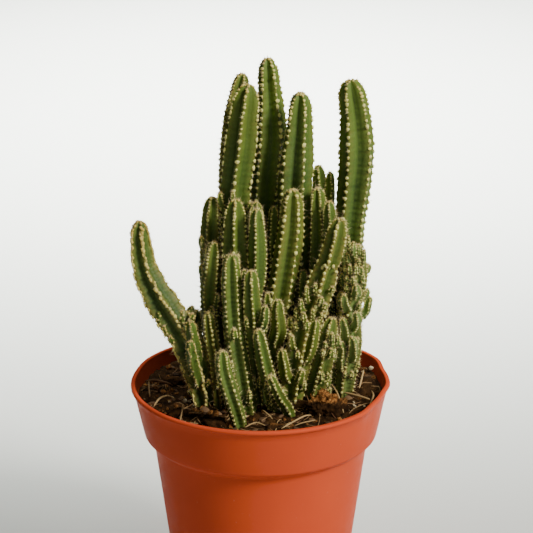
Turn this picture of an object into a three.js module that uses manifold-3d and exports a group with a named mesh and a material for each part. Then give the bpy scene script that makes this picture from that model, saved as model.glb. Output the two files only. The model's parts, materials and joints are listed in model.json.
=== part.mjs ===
// Potted five-ribbed clustering cactus in a round plastic nursery pot.
// Units are millimetres, +Z is up and +Y runs away from the viewer.
// The origin is the middle of the pot's flat base.
import * as THREE from "three";
import Module from "manifold-3d";

const wasm = await Module();
wasm.setup();
const { Manifold, Mesh } = wasm;

// Pot: a collar and a small lip above a tapered body
const POT_HEIGHT = 77;
const RIM_RADIUS = 42.5;
const LIP_DEPTH = 1.4;
const LIP_INNER_RADIUS = 41.0;
const COLLAR_TOP_RADIUS = 41.6;
const COLLAR_BOTTOM_RADIUS = 38.3;
const COLLAR_BOTTOM_Z = 60.6;
const BODY_TOP_RADIUS = 35.1;
const BODY_TOP_Z = 57.2;
const FOOT_RADIUS = 27.4;
const FOOT_BEVEL = 1.1;
const WALL = 1.1;
const BASE_THICKNESS = 1.6;
const POT_SIDES = 40;
const DRAIN_HOLES = 6;
const DRAIN_HOLE_RADIUS = 3.2;
const DRAIN_HOLE_CIRCLE = 18.5;

// The soft rim is pressed out of round: angle and half width in radians,
// then how far it moves outwards
const RIM_BENDS = [
  [0.62, 0.27, 2.2],
  [2.42, 0.4, 1.0],
  [-0.36, 0.25, -1.2],
];

// Potting mix
const MIX_GAP = 0.3;
const MIX_EDGE_Z = 72.6;
const MIX_EDGE_RADIUS = 38.5;
const MIX_MOUND = 1.9;
const MIX_RINGS = 5;
const MIX_SIDES = 26;
const HOLE_FLOOR_Z = 61;
const HOLE_GAP = 0.4;
const HOLE_SIDES = 6;
const HOLE_SAMPLES = 5;

// Stems: five ribs with a tuft seat every few millimetres
const RIBS = 5;
const SMALL_ARM_RIBS = 4;
const SMALL_RADIUS = 2.4;
const VALLEY_SHARE = 0.6;
const CRENATION = 0.5;
const TUFT_STEP = 7.2;
const BACK_TUFT_STEP = 9;
const SMALL_TUFT_STEP = 5;
const VALLEY_STEP = 13.5;
const ARM_VALLEY_STEP = 9;
const SPINE_LENGTH = 1.7;
const SPINE_EVERY = 4;
const SPINE_FOOT = 0.11;
const TUFTS_START = 17.5;
const BURIED = 1.6;

// Girth along a stem, as shares of its widest radius r: the rounded tip and
// the taper behind it are this many radii long
const TIP_LENGTH = 1.1;
const TAPER_LENGTH = 4.4;
const TAPER_SHARE = 0.72;
const FOOT_SHARE = 0.9;
const FOOT_RUN = [12, 36];
const NECK_SHARE = 0.55;
const INSIDE_SHARE = 0.7;
const JOINT_DEPTH = 0.17;
const JOINT_REACH = 2.6;

// Spacing of the cluster
const SAMPLE_STEP = 3.2;
const ARM_SAMPLE_STEP = 2.56;
const NEST = 0.97;
const CLEARANCE = 0.4;
const EASING_ROUNDS = 160;
const EASING = 0.45;

// Faces thinner than this are merged into their neighbours
const SLIVER = 0.05;

// Lumps of peat, bark and grit in the mix: middle, half sizes and turn
const LUMPS = [
  [21.6, -18.6, 74.4, 6.2, 4.4, 5.2, 0.2],
  [-12, -30.5, 73, 4.4, 3, 2, 0.4],
  [14.5, -27, 73, 4.2, 2.2, 1.8, -0.2],
  [2, -33, 72.6, 4, 2, 1.6, 0.3],
  [-27, -20, 73, 4.2, 3.2, 2.2, 0.9],
  [-29, 10, 73, 4.4, 3, 2.2, -0.5],
  [32, 10, 73.2, 3.4, 2.6, 2.1, 0.6],
  [24, 25.5, 73, 3.2, 2.4, 2, 0.8],
];

// The stems. r is the widest radius and turn the place of the first rib, in
// degrees from the viewer, positive to the right. hold says how firmly a stem
// keeps its place while the cluster is eased apart. plain is the share of an
// inner stem, from its foot, that carries no tufts, foot its girth at the mix,
// blunt the fullness of its tip, peak the share of its girth left near the tip
// and reach the length of that taper in radii. lower is the share of its girth
// further down and the distances from the tip over which it changes to that.
// twist is its turning in degrees per millimetre from the tip and joint the
// distance of a growth joint from the tip. close below 1 sets the
// corners along the valleys of a strongly bent stem nearer together. line is
// the middle line from the foot in the mix to the tip. An arm leaves its stem
// at the share of the stem's length named by at.
const STEMS = [
  {
    name: "stem_tall_centre", r: 6.05, turn: -7, hold: 5, plain: 0.45, lower: [0.87, 14, 27],
    line: [[-5.5, 3.5, 61], [-5.8, 3.5, 73], [-8, 3, 110], [-8.3, 3, 137],
      [-7.1, 3, 148], [-5.9, 3, 157], [-4.9, 3, 167.5], [-3.6, 3, 176.6]],
    arms: [
      { at: 0.64, r: 1.8, turn: 10, line: [[-12.2, 1, 137.5], [-12.9, 0.6, 141.5]] },
    ],
  },
  {
    name: "stem_tall_left", r: 3.8, turn: 20, hold: 3, plain: 0.4,
    line: [[-8.5, 13.5, 61], [-8.8, 13.5, 73], [-10.4, 13, 120], [-10.2, 13, 148],
      [-8.4, 13.5, 164], [-5.5, 14, 177.2]],
    arms: [],
  },
  {
    name: "stem_tallest", r: 4.95, turn: -38, hold: 4, plain: 0.45, foot: 0.8, peak: 0.64,
    lower: [1.12, 14, 24],
    line: [[2.6, 9, 61], [2.4, 9, 73], [2.4, 10, 120], [2.9, 10.5, 142.8],
      [3.5, 11, 154], [3.2, 12, 166], [2.3, 13, 182.6]],
    arms: [
      { at: 0.5, r: 2.6, turn: 30, line: [[8.4, 14.2, 125], [9.4, 15.6, 146]] },
    ],
  },
  {
    name: "stem_tall_right_centre", r: 5.2, turn: 26, hold: 4, plain: 0.45, foot: 0.8,
    lower: [1.14, 12, 26],
    line: [[9.8, 3.2, 61], [9.9, 3.4, 73], [9.8, 4, 110], [10.7, 4, 144.7],
      [12.2, 4, 161.4], [12.8, 4, 173.7]],
    arms: [],
  },
  {
    name: "stem_tall_right", r: 5.95, turn: -29, hold: 6, blunt: 1.12, lower: [0.92, 30, 46],
    line: [[22.8, 7.6, 61], [23.4, 7.4, 73], [26.8, 6, 95], [28.2, 5, 111],
      [28.6, 4, 126], [29.9, 4, 140], [31, 4, 153], [30.3, 4, 165], [28.3, 3, 178.1]],
    arms: [
      { at: 0.3, r: 1.9, turn: 0, line: [[33.8, 8.6, 97], [35.6, 9.2, 103]] },
    ],
  },
  {
    name: "stem_middle_left_back", r: 3.6, turn: -20, hold: 6, plain: 0.3,
    line: [[-13.6, 2.4, 61], [-14, 2.4, 73], [-15.2, 2.6, 112], [-15.1, 2.8, 127], [-14.9, 3, 139.3]],
    arms: [],
  },
  {
    name: "stem_middle_left", r: 3.5, turn: 36, hold: 3, plain: 0.3,
    line: [[-13.2, -5.4, 61], [-13.6, -5.4, 73], [-16, -5, 104], [-15.6, -5, 117], [-14.6, -5, 127]],
    arms: [
      { at: 0.6, r: 2.4, turn: 20, line: [[-12.2, -2.2, 106], [-11.6, -1.6, 125.5]] },
    ],
  },
  {
    name: "stem_middle_centre", r: 4.4, turn: -8, hold: 4, plain: 0.25,
    line: [[-4.8, -5.8, 61], [-5, -5.8, 73], [-6.6, -6, 100], [-8, -6.4, 122], [-7.7, -6.5, 141.6]],
    arms: [
      { at: 0.44, r: 3.2, turn: -6, line: [[-3.2, -9.4, 103], [-0.9, -10.5, 120], [-1.1, -10.6, 139.9]] },
    ],
  },
  {
    name: "stem_middle_right", r: 4.8, turn: -39, hold: 5, plain: 0.2,
    line: [[2.8, -2.8, 61], [3, -3, 73], [5, -5, 95], [6.5, -6, 108], [8.4, -6, 121],
      [9.8, -6, 133], [10.3, -6, 144.7]],
    arms: [
      { at: 0.42, r: 2.9, turn: 15, line: [[0.4, -3.6, 106], [-1.1, -3.8, 122], [-1.4, -4, 140]] },
      { at: 0.62, r: 2.0, turn: 0, line: [[4.2, -1.2, 118], [4.2, -0.4, 137.2]] },
      { at: 0.5, r: 1.8, turn: 30, line: [[2.4, -9.2, 107.4], [2, -10.2, 111.5]] },
      { at: 0.35, r: 2.8, turn: 12, line: [[7, -11, 98.5], [6, -13.8, 105], [5.6, -14.2, 110.6]] },
    ],
  },
  {
    name: "stem_leaning_right", r: 4.6, turn: -21, hold: 5, joint: 15.5, lower: [1.12, 14, 42],
    twist: 0.7,
    line: [[9.9, -7.3, 61], [10.2, -7.4, 73], [11.6, -7.6, 85], [13.7, -8.2, 94.5],
      [17.1, -9, 107], [20.6, -10, 118.5], [23.3, -11, 127], [25.4, -11.2, 136.7]],
    arms: [
      { at: 0.3, r: 2.2, turn: 10, line: [[15.6, -11.4, 91.5], [17.7, -12.4, 103]] },
      { at: 0.2, r: 1.7, turn: 0, line: [[12.4, -12.2, 82], [13.4, -13.4, 86.4]] },
      { at: 0.24, r: 2.1, turn: 0, line: [[8.2, -13.8, 84.5], [6.8, -16.6, 94.6]] },
      { at: 0.44, r: 1.8, turn: 0, line: [[10.3, -10.2, 99.6], [9.3, -11.2, 103.6]] },
      { at: 0.58, r: 2.3, turn: 20, line: [[14.2, -4.6, 106], [13.7, -4, 117]] },
    ],
  },
  {
    name: "stem_middle_right_back", r: 3.3, turn: 12, hold: 3, plain: 0.3,
    line: [[16.4, 1.6, 61], [16.4, 1.4, 73], [17.4, 0.4, 105], [18.3, 0, 125], [18.1, 0, 143.4]],
    arms: [
      { at: 0.56, r: 2.7, turn: -10, line: [[21.6, -3.4, 118], [22.4, -4.4, 130], [21.8, -4.8, 140.4]] },
    ],
  },
  {
    name: "stem_slim_right_back", r: 3.0, turn: 0, hold: 2, plain: 0.4,
    line: [[16.6, 10.2, 61], [16.8, 10, 73], [17.6, 8, 110], [18.6, 6.6, 135], [18.1, 6, 148.9]],
    arms: [
      { at: 0.7, r: 1.9, turn: 20, line: [[21.8, 6.4, 131], [22.3, 5.4, 146.9]] },
    ],
  },
  {
    name: "stem_arching_left", r: 5.5, turn: -47, hold: 8, foot: 0.66, close: 0.7, peak: 0.58,
    reach: 5.8,
    line: [[-18, -10.6, 61], [-18.4, -10.8, 73], [-20.4, -11.2, 85], [-23.2, -11.4, 94],
      [-26.4, -11, 99.6], [-29.5, -10.2, 104.5], [-32.8, -9, 109.6], [-35.7, -7.2, 114.8],
      [-37.9, -6.2, 120.6], [-38.9, -5.8, 127], [-38.2, -5.6, 134]],
    arms: [
      { at: 0.3, r: 2.3, turn: 5, line: [[-21.4, -16, 96.5], [-22.4, -17.2, 104.6]] },
      { at: 0.2, r: 2.1, turn: -15, line: [[-21.2, -17, 88.5], [-22.4, -19.6, 98.6]] },
      { at: 0.42, r: 1.8, turn: 0, line: [[-23, -8.4, 102], [-21.8, -7.6, 106]] },
    ],
  },
  {
    name: "stem_short_left", r: 2.3, turn: 14, hold: 3,
    line: [[-13, -13.2, 61], [-13.3, -13.2, 73], [-15.4, -12.6, 92], [-16.7, -13, 106.1]],
    arms: [],
  },
  {
    name: "stem_front_tall", r: 3.5, turn: -36, hold: 6, blunt: 1.5, foot: 1.1,
    line: [[-4, -18.4, 61], [-4.4, -18, 73], [-6, -17, 84], [-8, -15.6, 98],
      [-9, -14.8, 112], [-9.3, -14.5, 125.9]],
    arms: [
      { at: 0.6, r: 1.4, turn: 0, line: [[-8.4, -20, 100], [-8.4, -21, 103.4]] },
    ],
  },
  {
    name: "stem_front_centre", r: 3.05, turn: 0, hold: 5, blunt: 1.2,
    line: [[1, -11.4, 61], [0.8, -11.6, 73], [-1, -13.6, 92], [-2.4, -16, 108], [-3, -16.6, 121.3]],
    arms: [
      { at: 0.62, r: 1.7, turn: 0, line: [[1, -18.6, 105], [1.6, -19.6, 110.5]] },
    ],
  },
  {
    name: "stem_front_low", r: 2.8, turn: -14, hold: 5,
    line: [[5.6, -16.4, 61], [5.4, -16.8, 73], [3.4, -18.6, 83], [1.1, -20, 92.5], [-0.8, -21, 103.1]],
    arms: [],
  },
  {
    name: "stem_front_small", r: 2.2, turn: 10, hold: 5,
    line: [[9.8, -17.8, 61], [9.1, -18.8, 73], [5.7, -22, 81], [3, -24, 88.6]],
    arms: [],
  },
  {
    name: "stem_front_left", r: 3.05, turn: 41, hold: 6,
    line: [[-6, -27.8, 61], [-6.6, -28, 73], [-9.3, -28.8, 83.7], [-11.5, -28.4, 91.7],
      [-12.1, -28, 98.7]],
    arms: [],
  },
  {
    name: "stem_right_small", r: 3.8, turn: -10, hold: 5,
    line: [[15.8, -5.4, 61], [16.2, -5.6, 73], [18.8, -6.6, 85], [21, -7.4, 94], [23.3, -8, 102.2]],
    arms: [],
  },
  {
    name: "stem_right_slim", r: 2.6, turn: 16, hold: 3,
    line: [[21, -1.6, 61], [21.3, -1.8, 73], [24.3, -4, 87], [25.8, -5.6, 98.6]],
    arms: [],
  },
  {
    name: "stem_right_outer", r: 3.9, turn: -18, hold: 5,
    line: [[25.6, -1.8, 61], [25.9, -2, 73], [26.8, -2.8, 84], [28.2, -4, 96],
      [29.5, -5, 107], [31.4, -6, 117], [30.6, -6, 126.2]],
    arms: [
      { at: 0.28, r: 1.9, turn: 0, line: [[25.4, -7.2, 90.4], [24.6, -8.2, 94]] },
      { at: 0.35, r: 2.0, turn: 20, line: [[29.6, -8.4, 92], [29.2, -9.4, 96]] },
      { at: 0.44, r: 2.1, turn: 10, line: [[26.6, -8.4, 98.6], [25.8, -9.4, 102.6]] },
      { at: 0.52, r: 2.0, turn: 0, line: [[30.6, -9.6, 101.6], [30.4, -10.6, 105]] },
      { at: 0.6, r: 2.0, turn: 30, line: [[27.1, -9.2, 107.6], [26.6, -10.2, 111]] },
      { at: 0.7, r: 2.0, turn: 15, line: [[30.8, -10.2, 111.4], [30.4, -11, 114.6]] },
      { at: 0.66, r: 1.6, turn: 0, line: [[33.8, -6.4, 109.6], [34.3, -6.6, 111.6]] },
      { at: 0.8, r: 1.7, turn: 0, line: [[34, -6.6, 118], [34.6, -7, 120]] },
    ],
  },
  {
    name: "stem_back_left", r: 4.2, turn: 30, hold: 1, plain: 0.2,
    line: [[-7.6, 24, 61], [-7.6, 24, 73], [-6, 24.6, 110], [-3, 24, 156]],
    arms: [
      { at: 0.45, r: 2.1, turn: 0, line: [[-12.4, 28.4, 108], [-13.2, 29.4, 118]] },
    ],
  },
  {
    name: "stem_back_centre", r: 4.6, turn: 10, hold: 1, plain: 0.35,
    line: [[3.4, 19.4, 61], [3.6, 19.6, 73], [4.6, 21, 110], [6.8, 21, 156]],
    arms: [
      { at: 0.4, r: 2.2, turn: 0, line: [[8.6, 26, 100], [10, 27.4, 112]] },
    ],
  },
  {
    name: "stem_back_right", r: 3.8, turn: 50, hold: 1, plain: 0.4,
    line: [[12.4, 13.2, 61], [12.4, 13.4, 73], [13.6, 14.6, 110], [15, 15, 139]],
    arms: [],
  },
  {
    name: "stem_back_far_left", r: 3.8, turn: 0, hold: 1, plain: 0.2,
    line: [[-13.6, 18.6, 61], [-13.6, 18.4, 73], [-13.2, 17.4, 100], [-13.4, 16.4, 134]],
    arms: [
      { at: 0.3, r: 2.0, turn: 0, line: [[-18.4, 20, 88], [-19.4, 20.8, 94]] },
    ],
  },
  {
    name: "stem_back_far_right", r: 3.6, turn: 20, hold: 1,
    line: [[13.6, 24.6, 61], [13.8, 24.8, 73], [15.6, 26, 96], [17, 27, 119]],
    arms: [],
  },
  {
    name: "stem_back_edge", r: 3.4, turn: 0, hold: 1,
    line: [[-2.8, 31, 61], [-3, 31, 73], [-4, 32.6, 98], [-5, 33.4, 121]],
    arms: [
      { at: 0.5, r: 1.8, turn: 0, line: [[-0.4, 36, 95], [0.4, 36.8, 101.4]] },
    ],
  },
  {
    name: "stem_back_outer", r: 3.4, turn: 40, hold: 1,
    line: [[22, 17, 61], [22.4, 17, 73], [24.4, 18, 94], [25, 18.6, 112]],
    arms: [
      { at: 0.45, r: 1.8, turn: 0, line: [[28.6, 20.4, 88], [30, 21, 94]] },
    ],
  },
  {
    name: "stem_back_small_left", r: 2.9, turn: 0, hold: 1,
    line: [[-19.6, 20, 61], [-20, 20, 73], [-22, 21, 82], [-23.4, 21.8, 91]],
    arms: [],
  },
  {
    name: "stem_back_small_right", r: 2.9, turn: 0, hold: 1,
    line: [[6.2, 31.2, 61], [6.4, 31.4, 73], [8, 33, 88], [8.6, 33.6, 102]],
    arms: [],
  },
  {
    name: "stem_side_small_left", r: 2.8, turn: 0, hold: 1,
    line: [[-21.4, 1.6, 61], [-22, 1.6, 73], [-21.6, 2, 88], [-20.2, 2.6, 101]],
    arms: [],
  },
];

// Vector helpers
const add = (a, b, k = 1) => [a[0] + b[0] * k, a[1] + b[1] * k, a[2] + b[2] * k];
const sub = (a, b) => [a[0] - b[0], a[1] - b[1], a[2] - b[2]];
const dot = (a, b) => a[0] * b[0] + a[1] * b[1] + a[2] * b[2];
const len = (a) => Math.sqrt(dot(a, a));
const unit = (a) => a.map((v) => v / len(a));
const cross = (a, b) => [
  a[1] * b[2] - a[2] * b[1],
  a[2] * b[0] - a[0] * b[2],
  a[0] * b[1] - a[1] * b[0],
];
const clamp = (v, low, high) => Math.min(high, Math.max(low, v));
const mix = (low, high, share) => low + (high - low) * share;
const smooth = (t) => {
  const c = clamp(t, 0, 1);
  return c * c * (3 - 2 * c);
};

// Value between 0 and 1 drawn from a sine rule
const hash = (n) => {
  const v = Math.sin(n * 12.9898 + 4.1414) * 43758.5453;
  return v - Math.floor(v);
};

// Point on a smooth curve through four neighbours
function curve(p0, p1, p2, p3, t) {
  return p1.map((_, k) => {
    const a = 2 * p1[k];
    const b = p2[k] - p0[k];
    const c = 2 * p0[k] - 5 * p1[k] + 4 * p2[k] - p3[k];
    const d = 3 * p1[k] - p0[k] - 3 * p2[k] + p3[k];
    return 0.5 * (a + b * t + c * t * t + d * t * t * t);
  });
}

// Position at a share of the way along a list of points
function along(points, share) {
  const n = points.length - 1;
  const at = clamp(share * n, 0, n - 1e-9);
  const i = Math.floor(at);
  const before = points[Math.max(0, i - 1)];
  const after = points[Math.min(n, i + 2)];
  return curve(before, points[i], points[i + 1], after, at - i);
}

// Distance run along a list of points, at each of them
function runOf(points) {
  const run = [0];
  for (let i = 1; i < points.length; i += 1) {
    run.push(run[i - 1] + len(sub(points[i], points[i - 1])));
  }
  return run;
}

// Even samples along the smooth curve through a list of points
function resample(points, step) {
  const fine = [];
  const parts = (points.length - 1) * 16;
  for (let i = 0; i <= parts; i += 1) {
    fine.push(along(points, i / parts));
  }
  const run = runOf(fine);
  const total = run[run.length - 1];
  const count = Math.max(2, Math.round(total / step));
  const out = [];
  let j = 0;
  for (let i = 0; i <= count; i += 1) {
    const want = (total * i) / count;
    while (j < fine.length - 2 && run[j + 1] < want) {
      j += 1;
    }
    const f = clamp((want - run[j]) / Math.max(1e-9, run[j + 1] - run[j]), 0, 1);
    out.push(add(fine[j], sub(fine[j + 1], fine[j]), f));
  }
  return out;
}

// Radius of a stem at a distance from its tip and from its foot
function girth(row, fromTip, fromFoot) {
  const s = fromTip * (row.blunt || 1);
  const cap = 1 - Math.min(s / (TIP_LENGTH * row.r), 1);
  let out = row.r * Math.sqrt(1 - cap * cap);
  const taper = (row.reach || TAPER_LENGTH) * row.r;
  out *= mix(row.peak || TAPER_SHARE, 1, smooth(s / taper));
  if (row.arm) {
    out *= mix(NECK_SHARE, 1, smooth((fromFoot - row.inside) / (0.9 * row.r + 1)));
  } else {
    const [low, high] = FOOT_RUN;
    out *= mix(row.foot || FOOT_SHARE, 1, smooth((fromFoot - low) / (high - low)));
  }
  if (row.lower) {
    const [share, low, high] = row.lower;
    out *= mix(1, share, smooth((fromTip - low) / (high - low)));
  }
  if (row.joint) {
    const d = (fromTip - row.joint) / JOINT_REACH;
    out *= 1 - JOINT_DEPTH / (1 + d * d);
  }
  return out;
}

// Every stem and arm as a chain of samples along its middle line
function makeChains() {
  const list = [];
  for (const row of STEMS) {
    const stem = {
      row: { ...row, arm: false },
      node: row.name,
      hold: row.hold,
      parent: -1,
      pts: resample(row.line, SAMPLE_STEP),
    };
    const home = list.length;
    list.push(stem);
    for (const arm of row.arms) {
      const link = Math.round(arm.at * (stem.pts.length - 1));
      list.push({
        row: { ...arm, arm: true, inside: INSIDE_SHARE * row.r },
        node: row.name,
        hold: row.hold,
        parent: home,
        link,
        pts: resample([stem.pts[link], ...arm.line], ARM_SAMPLE_STEP),
      });
    }
  }
  for (const chain of list) {
    const run = runOf(chain.pts);
    const total = run[run.length - 1];
    chain.bulk = run.map((d) => girth(chain.row, total - d, d));
  }
  return list;
}

// Sideways pushes that part two chains wherever they come too close
function part(ca, cb, pushA, pushB) {
  const same = ca.node === cb.node;
  const first = same ? 2 : 0;
  const spare = same ? -0.2 : CLEARANCE;
  const shareA = cb.hold / (ca.hold + cb.hold);
  for (let i = first; i < ca.pts.length; i += 1) {
    for (let j = first; j < cb.pts.length; j += 1) {
      const [dx, dy, dz] = sub(ca.pts[i], cb.pts[j]);
      const need = NEST * (ca.bulk[i] + cb.bulk[j]) + spare;
      if (Math.abs(dz) > need) {
        continue;
      }
      const gap = Math.sqrt(dx * dx + dy * dy + dz * dz);
      if (gap >= need) {
        continue;
      }
      const k = (EASING * (need - gap)) / (Math.sqrt(dx * dx + dy * dy) + 0.05);
      pushA[i][0] += dx * k * shareA;
      pushA[i][1] += dy * k * shareA;
      pushB[j][0] -= dx * k * (1 - shareA);
      pushB[j][1] -= dy * k * (1 - shareA);
    }
  }
}

// Pushes spread along a chain so that it stays smooth
function spread(push) {
  let p = push;
  for (let pass = 0; pass < 3; pass += 1) {
    const last = p;
    p = last.map((v, i) => {
      const left = last[Math.max(0, i - 1)];
      const right = last[Math.min(last.length - 1, i + 1)];
      return [
        0.5 * v[0] + 0.25 * (left[0] + right[0]),
        0.5 * v[1] + 0.25 * (left[1] + right[1]),
      ];
    });
  }
  return p;
}

// Move a chain by its pushes and keep it inside the pot and the rim's width
function moveChain(chain, push) {
  spread(push).forEach((p, i) => {
    const pull = chain.parent >= 0 ? Math.min(1, i / 3) : 1;
    const at = chain.pts[i];
    at[0] += p[0] * pull;
    at[1] += p[1] * pull;
    const inPot = at[2] < POT_HEIGHT + 3;
    const limit = (inPot ? LIP_INNER_RADIUS - 2.2 : RIM_RADIUS - 0.15) - chain.bulk[i];
    const out = Math.sqrt(at[0] * at[0] + at[1] * at[1]);
    if (out > limit) {
      at[0] *= limit / out;
      at[1] *= limit / out;
    }
  });
}

// Ease the crowded cluster apart until no stem touches another
function ease(list) {
  for (let round = 0; round < EASING_ROUNDS; round += 1) {
    const push = list.map((c) => c.pts.map(() => [0, 0]));
    for (let a = 0; a < list.length; a += 1) {
      for (let b = a + 1; b < list.length; b += 1) {
        if (list[b].parent !== a) {
          part(list[a], list[b], push[a], push[b]);
        }
      }
    }
    list.forEach((chain, c) => moveChain(chain, push[c]));
    for (const chain of list) {
      if (chain.parent >= 0) {
        const move = sub(list[chain.parent].pts[chain.link], chain.pts[0]);
        chain.pts = chain.pts.map((p, i) => add(p, move, i === 0 ? 1 : 0.6 / (i + 1)));
      }
    }
  }
}

// Middle line with its run, tangents and axes carried along it
function middleLine(points) {
  const n = points.length;
  const run = runOf(points);
  const tangents = points.map((_, i) =>
    unit(sub(points[Math.min(n - 1, i + 1)], points[Math.max(0, i - 1)])),
  );
  const axes = [];
  let u = Math.abs(tangents[0][1]) > 0.85 ? [1, 0, 0] : [0, -1, 0];
  for (const t of tangents) {
    u = unit(add(u, t, -dot(u, t)));
    axes.push(u);
  }
  return { points, run, tangents, axes, total: run[n - 1] };
}

// Place on a middle line at a distance from its foot
function placeOn(line, distance) {
  const want = clamp(distance, 0, line.total);
  let i = 0;
  while (i < line.points.length - 2 && line.run[i + 1] < want) {
    i += 1;
  }
  const f = (want - line.run[i]) / (line.run[i + 1] - line.run[i]);
  const centre = along(line.points, (i + f) / (line.points.length - 1));
  const t = unit(add(line.tangents[i], sub(line.tangents[i + 1], line.tangents[i]), f));
  const u = add(line.axes[i], sub(line.axes[i + 1], line.axes[i]), f);
  const side = unit(add(u, t, -dot(u, t)));
  return { centre, t, u: side, v: cross(t, side) };
}

// Corners along the edge of one rib: seats for the tufts of spines stand up
// and the edge dips between them. The crowded lower part of an inner stem is
// plain.
function ribEdge(row, total, rib, step, number) {
  const small = row.r < SMALL_RADIUS;
  const edge = [];
  let start = row.inside + row.r * 0.9;
  if (!row.arm) {
    start = Math.max(TUFTS_START, (row.plain || 0) * total);
    edge.push({ d: 0, lift: 0, spined: false });
  }
  const stop = total - (small ? 0.8 : 1.15) * row.r;
  const steps = Math.max(2, Math.round((stop - start) / (step / 2)));
  const odd = small ? 0 : rib % 2;
  for (let i = 0; i <= steps; i += 1) {
    const tuft = (i + odd) % 2 === 0;
    const lift = tuft ? CRENATION * (small ? 0.8 : 1) : 0;
    const fromTip = Math.floor((steps - i) / 2);
    const spined = tuft && (fromTip + 3 * rib + number) % SPINE_EVERY === 0;
    edge.push({ d: start + (i * (stop - start)) / steps, lift, spined });
  }
  edge.push({ d: total - (small ? 0.3 : 0.5) * row.r, lift: 0.3, spined: false });
  if (!small) {
    edge.push({ d: total - 0.16 * row.r, lift: 0.25, spined: false });
  }
  return edge.filter((e, i) => i === 0 || e.d > edge[i - 1].d + 0.2);
}

// Distances from the foot of the corners along the valleys between the ribs
function valleyMarks(row, total) {
  const small = row.arm && row.r < SMALL_RADIUS;
  const low = row.arm ? row.inside + row.r * 0.9 : 0;
  const high = total - (small ? 0.9 : 1.5) * row.r;
  const step = row.arm ? ARM_VALLEY_STEP : VALLEY_STEP * (row.close || 1);
  const between = Math.max(1, Math.round((high - low) / step));
  const marks = [];
  for (let i = 0; i <= between; i += 1) {
    marks.push(low + ((high - low) * i) / between);
  }
  if (!small) {
    marks.push(total - 0.4 * row.r);
  }
  return marks.filter((d, i) => i === 0 || d > marks[i - 1] + 0.3);
}

// True where a spine's point stays out of every other stem and inside the rim
function isClear(point, own) {
  if (Math.sqrt(point[0] ** 2 + point[1] ** 2) > RIM_RADIUS - 0.1) {
    return false;
  }
  const touches = (c) => c.pts.some((p, i) => len(sub(point, p)) < c.bulk[i] + 0.5);
  return !chains.some((c) => c !== own && touches(c));
}

// Geometry from corner positions and triangles
function meshed(vertices, triangles) {
  const geometry = new THREE.BufferGeometry();
  geometry.setAttribute("position", new THREE.Float32BufferAttribute(vertices.flat(), 3));
  geometry.setIndex(triangles.flat());
  return geometry;
}

// Solid from a closed geometry, after an optional move of each corner
function solidOf(geometry, shift = (p) => p) {
  const array = geometry.attributes.position.array;
  const vertices = [];
  for (let i = 0; i < array.length; i += 3) {
    vertices.push(shift([array[i], array[i + 1], array[i + 2]]));
  }
  const order = geometry.index ? geometry.index.array : vertices.keys();
  const mesh = new Mesh({
    numProp: 3,
    vertProperties: new Float32Array(vertices.flat()),
    triVerts: new Uint32Array(order),
  });
  mesh.merge();
  return new Manifold(mesh);
}

// Geometry from a solid
function geometryOf(body) {
  const mesh = body.getMesh();
  const geometry = new THREE.BufferGeometry();
  geometry.setAttribute("position", new THREE.Float32BufferAttribute(mesh.vertProperties, 3));
  geometry.setIndex(new THREE.BufferAttribute(new Uint32Array(mesh.triVerts), 1));
  geometry.computeVertexNormals();
  return geometry;
}

// Body of revolution from radius and height pairs, standing on +Z
function turned(profile, sides) {
  const outline = profile.map(([radius, z]) => new THREE.Vector2(radius, z));
  const geometry = new THREE.LatheGeometry(outline, sides);
  geometry.rotateX(Math.PI / 2);
  return geometry;
}

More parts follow.
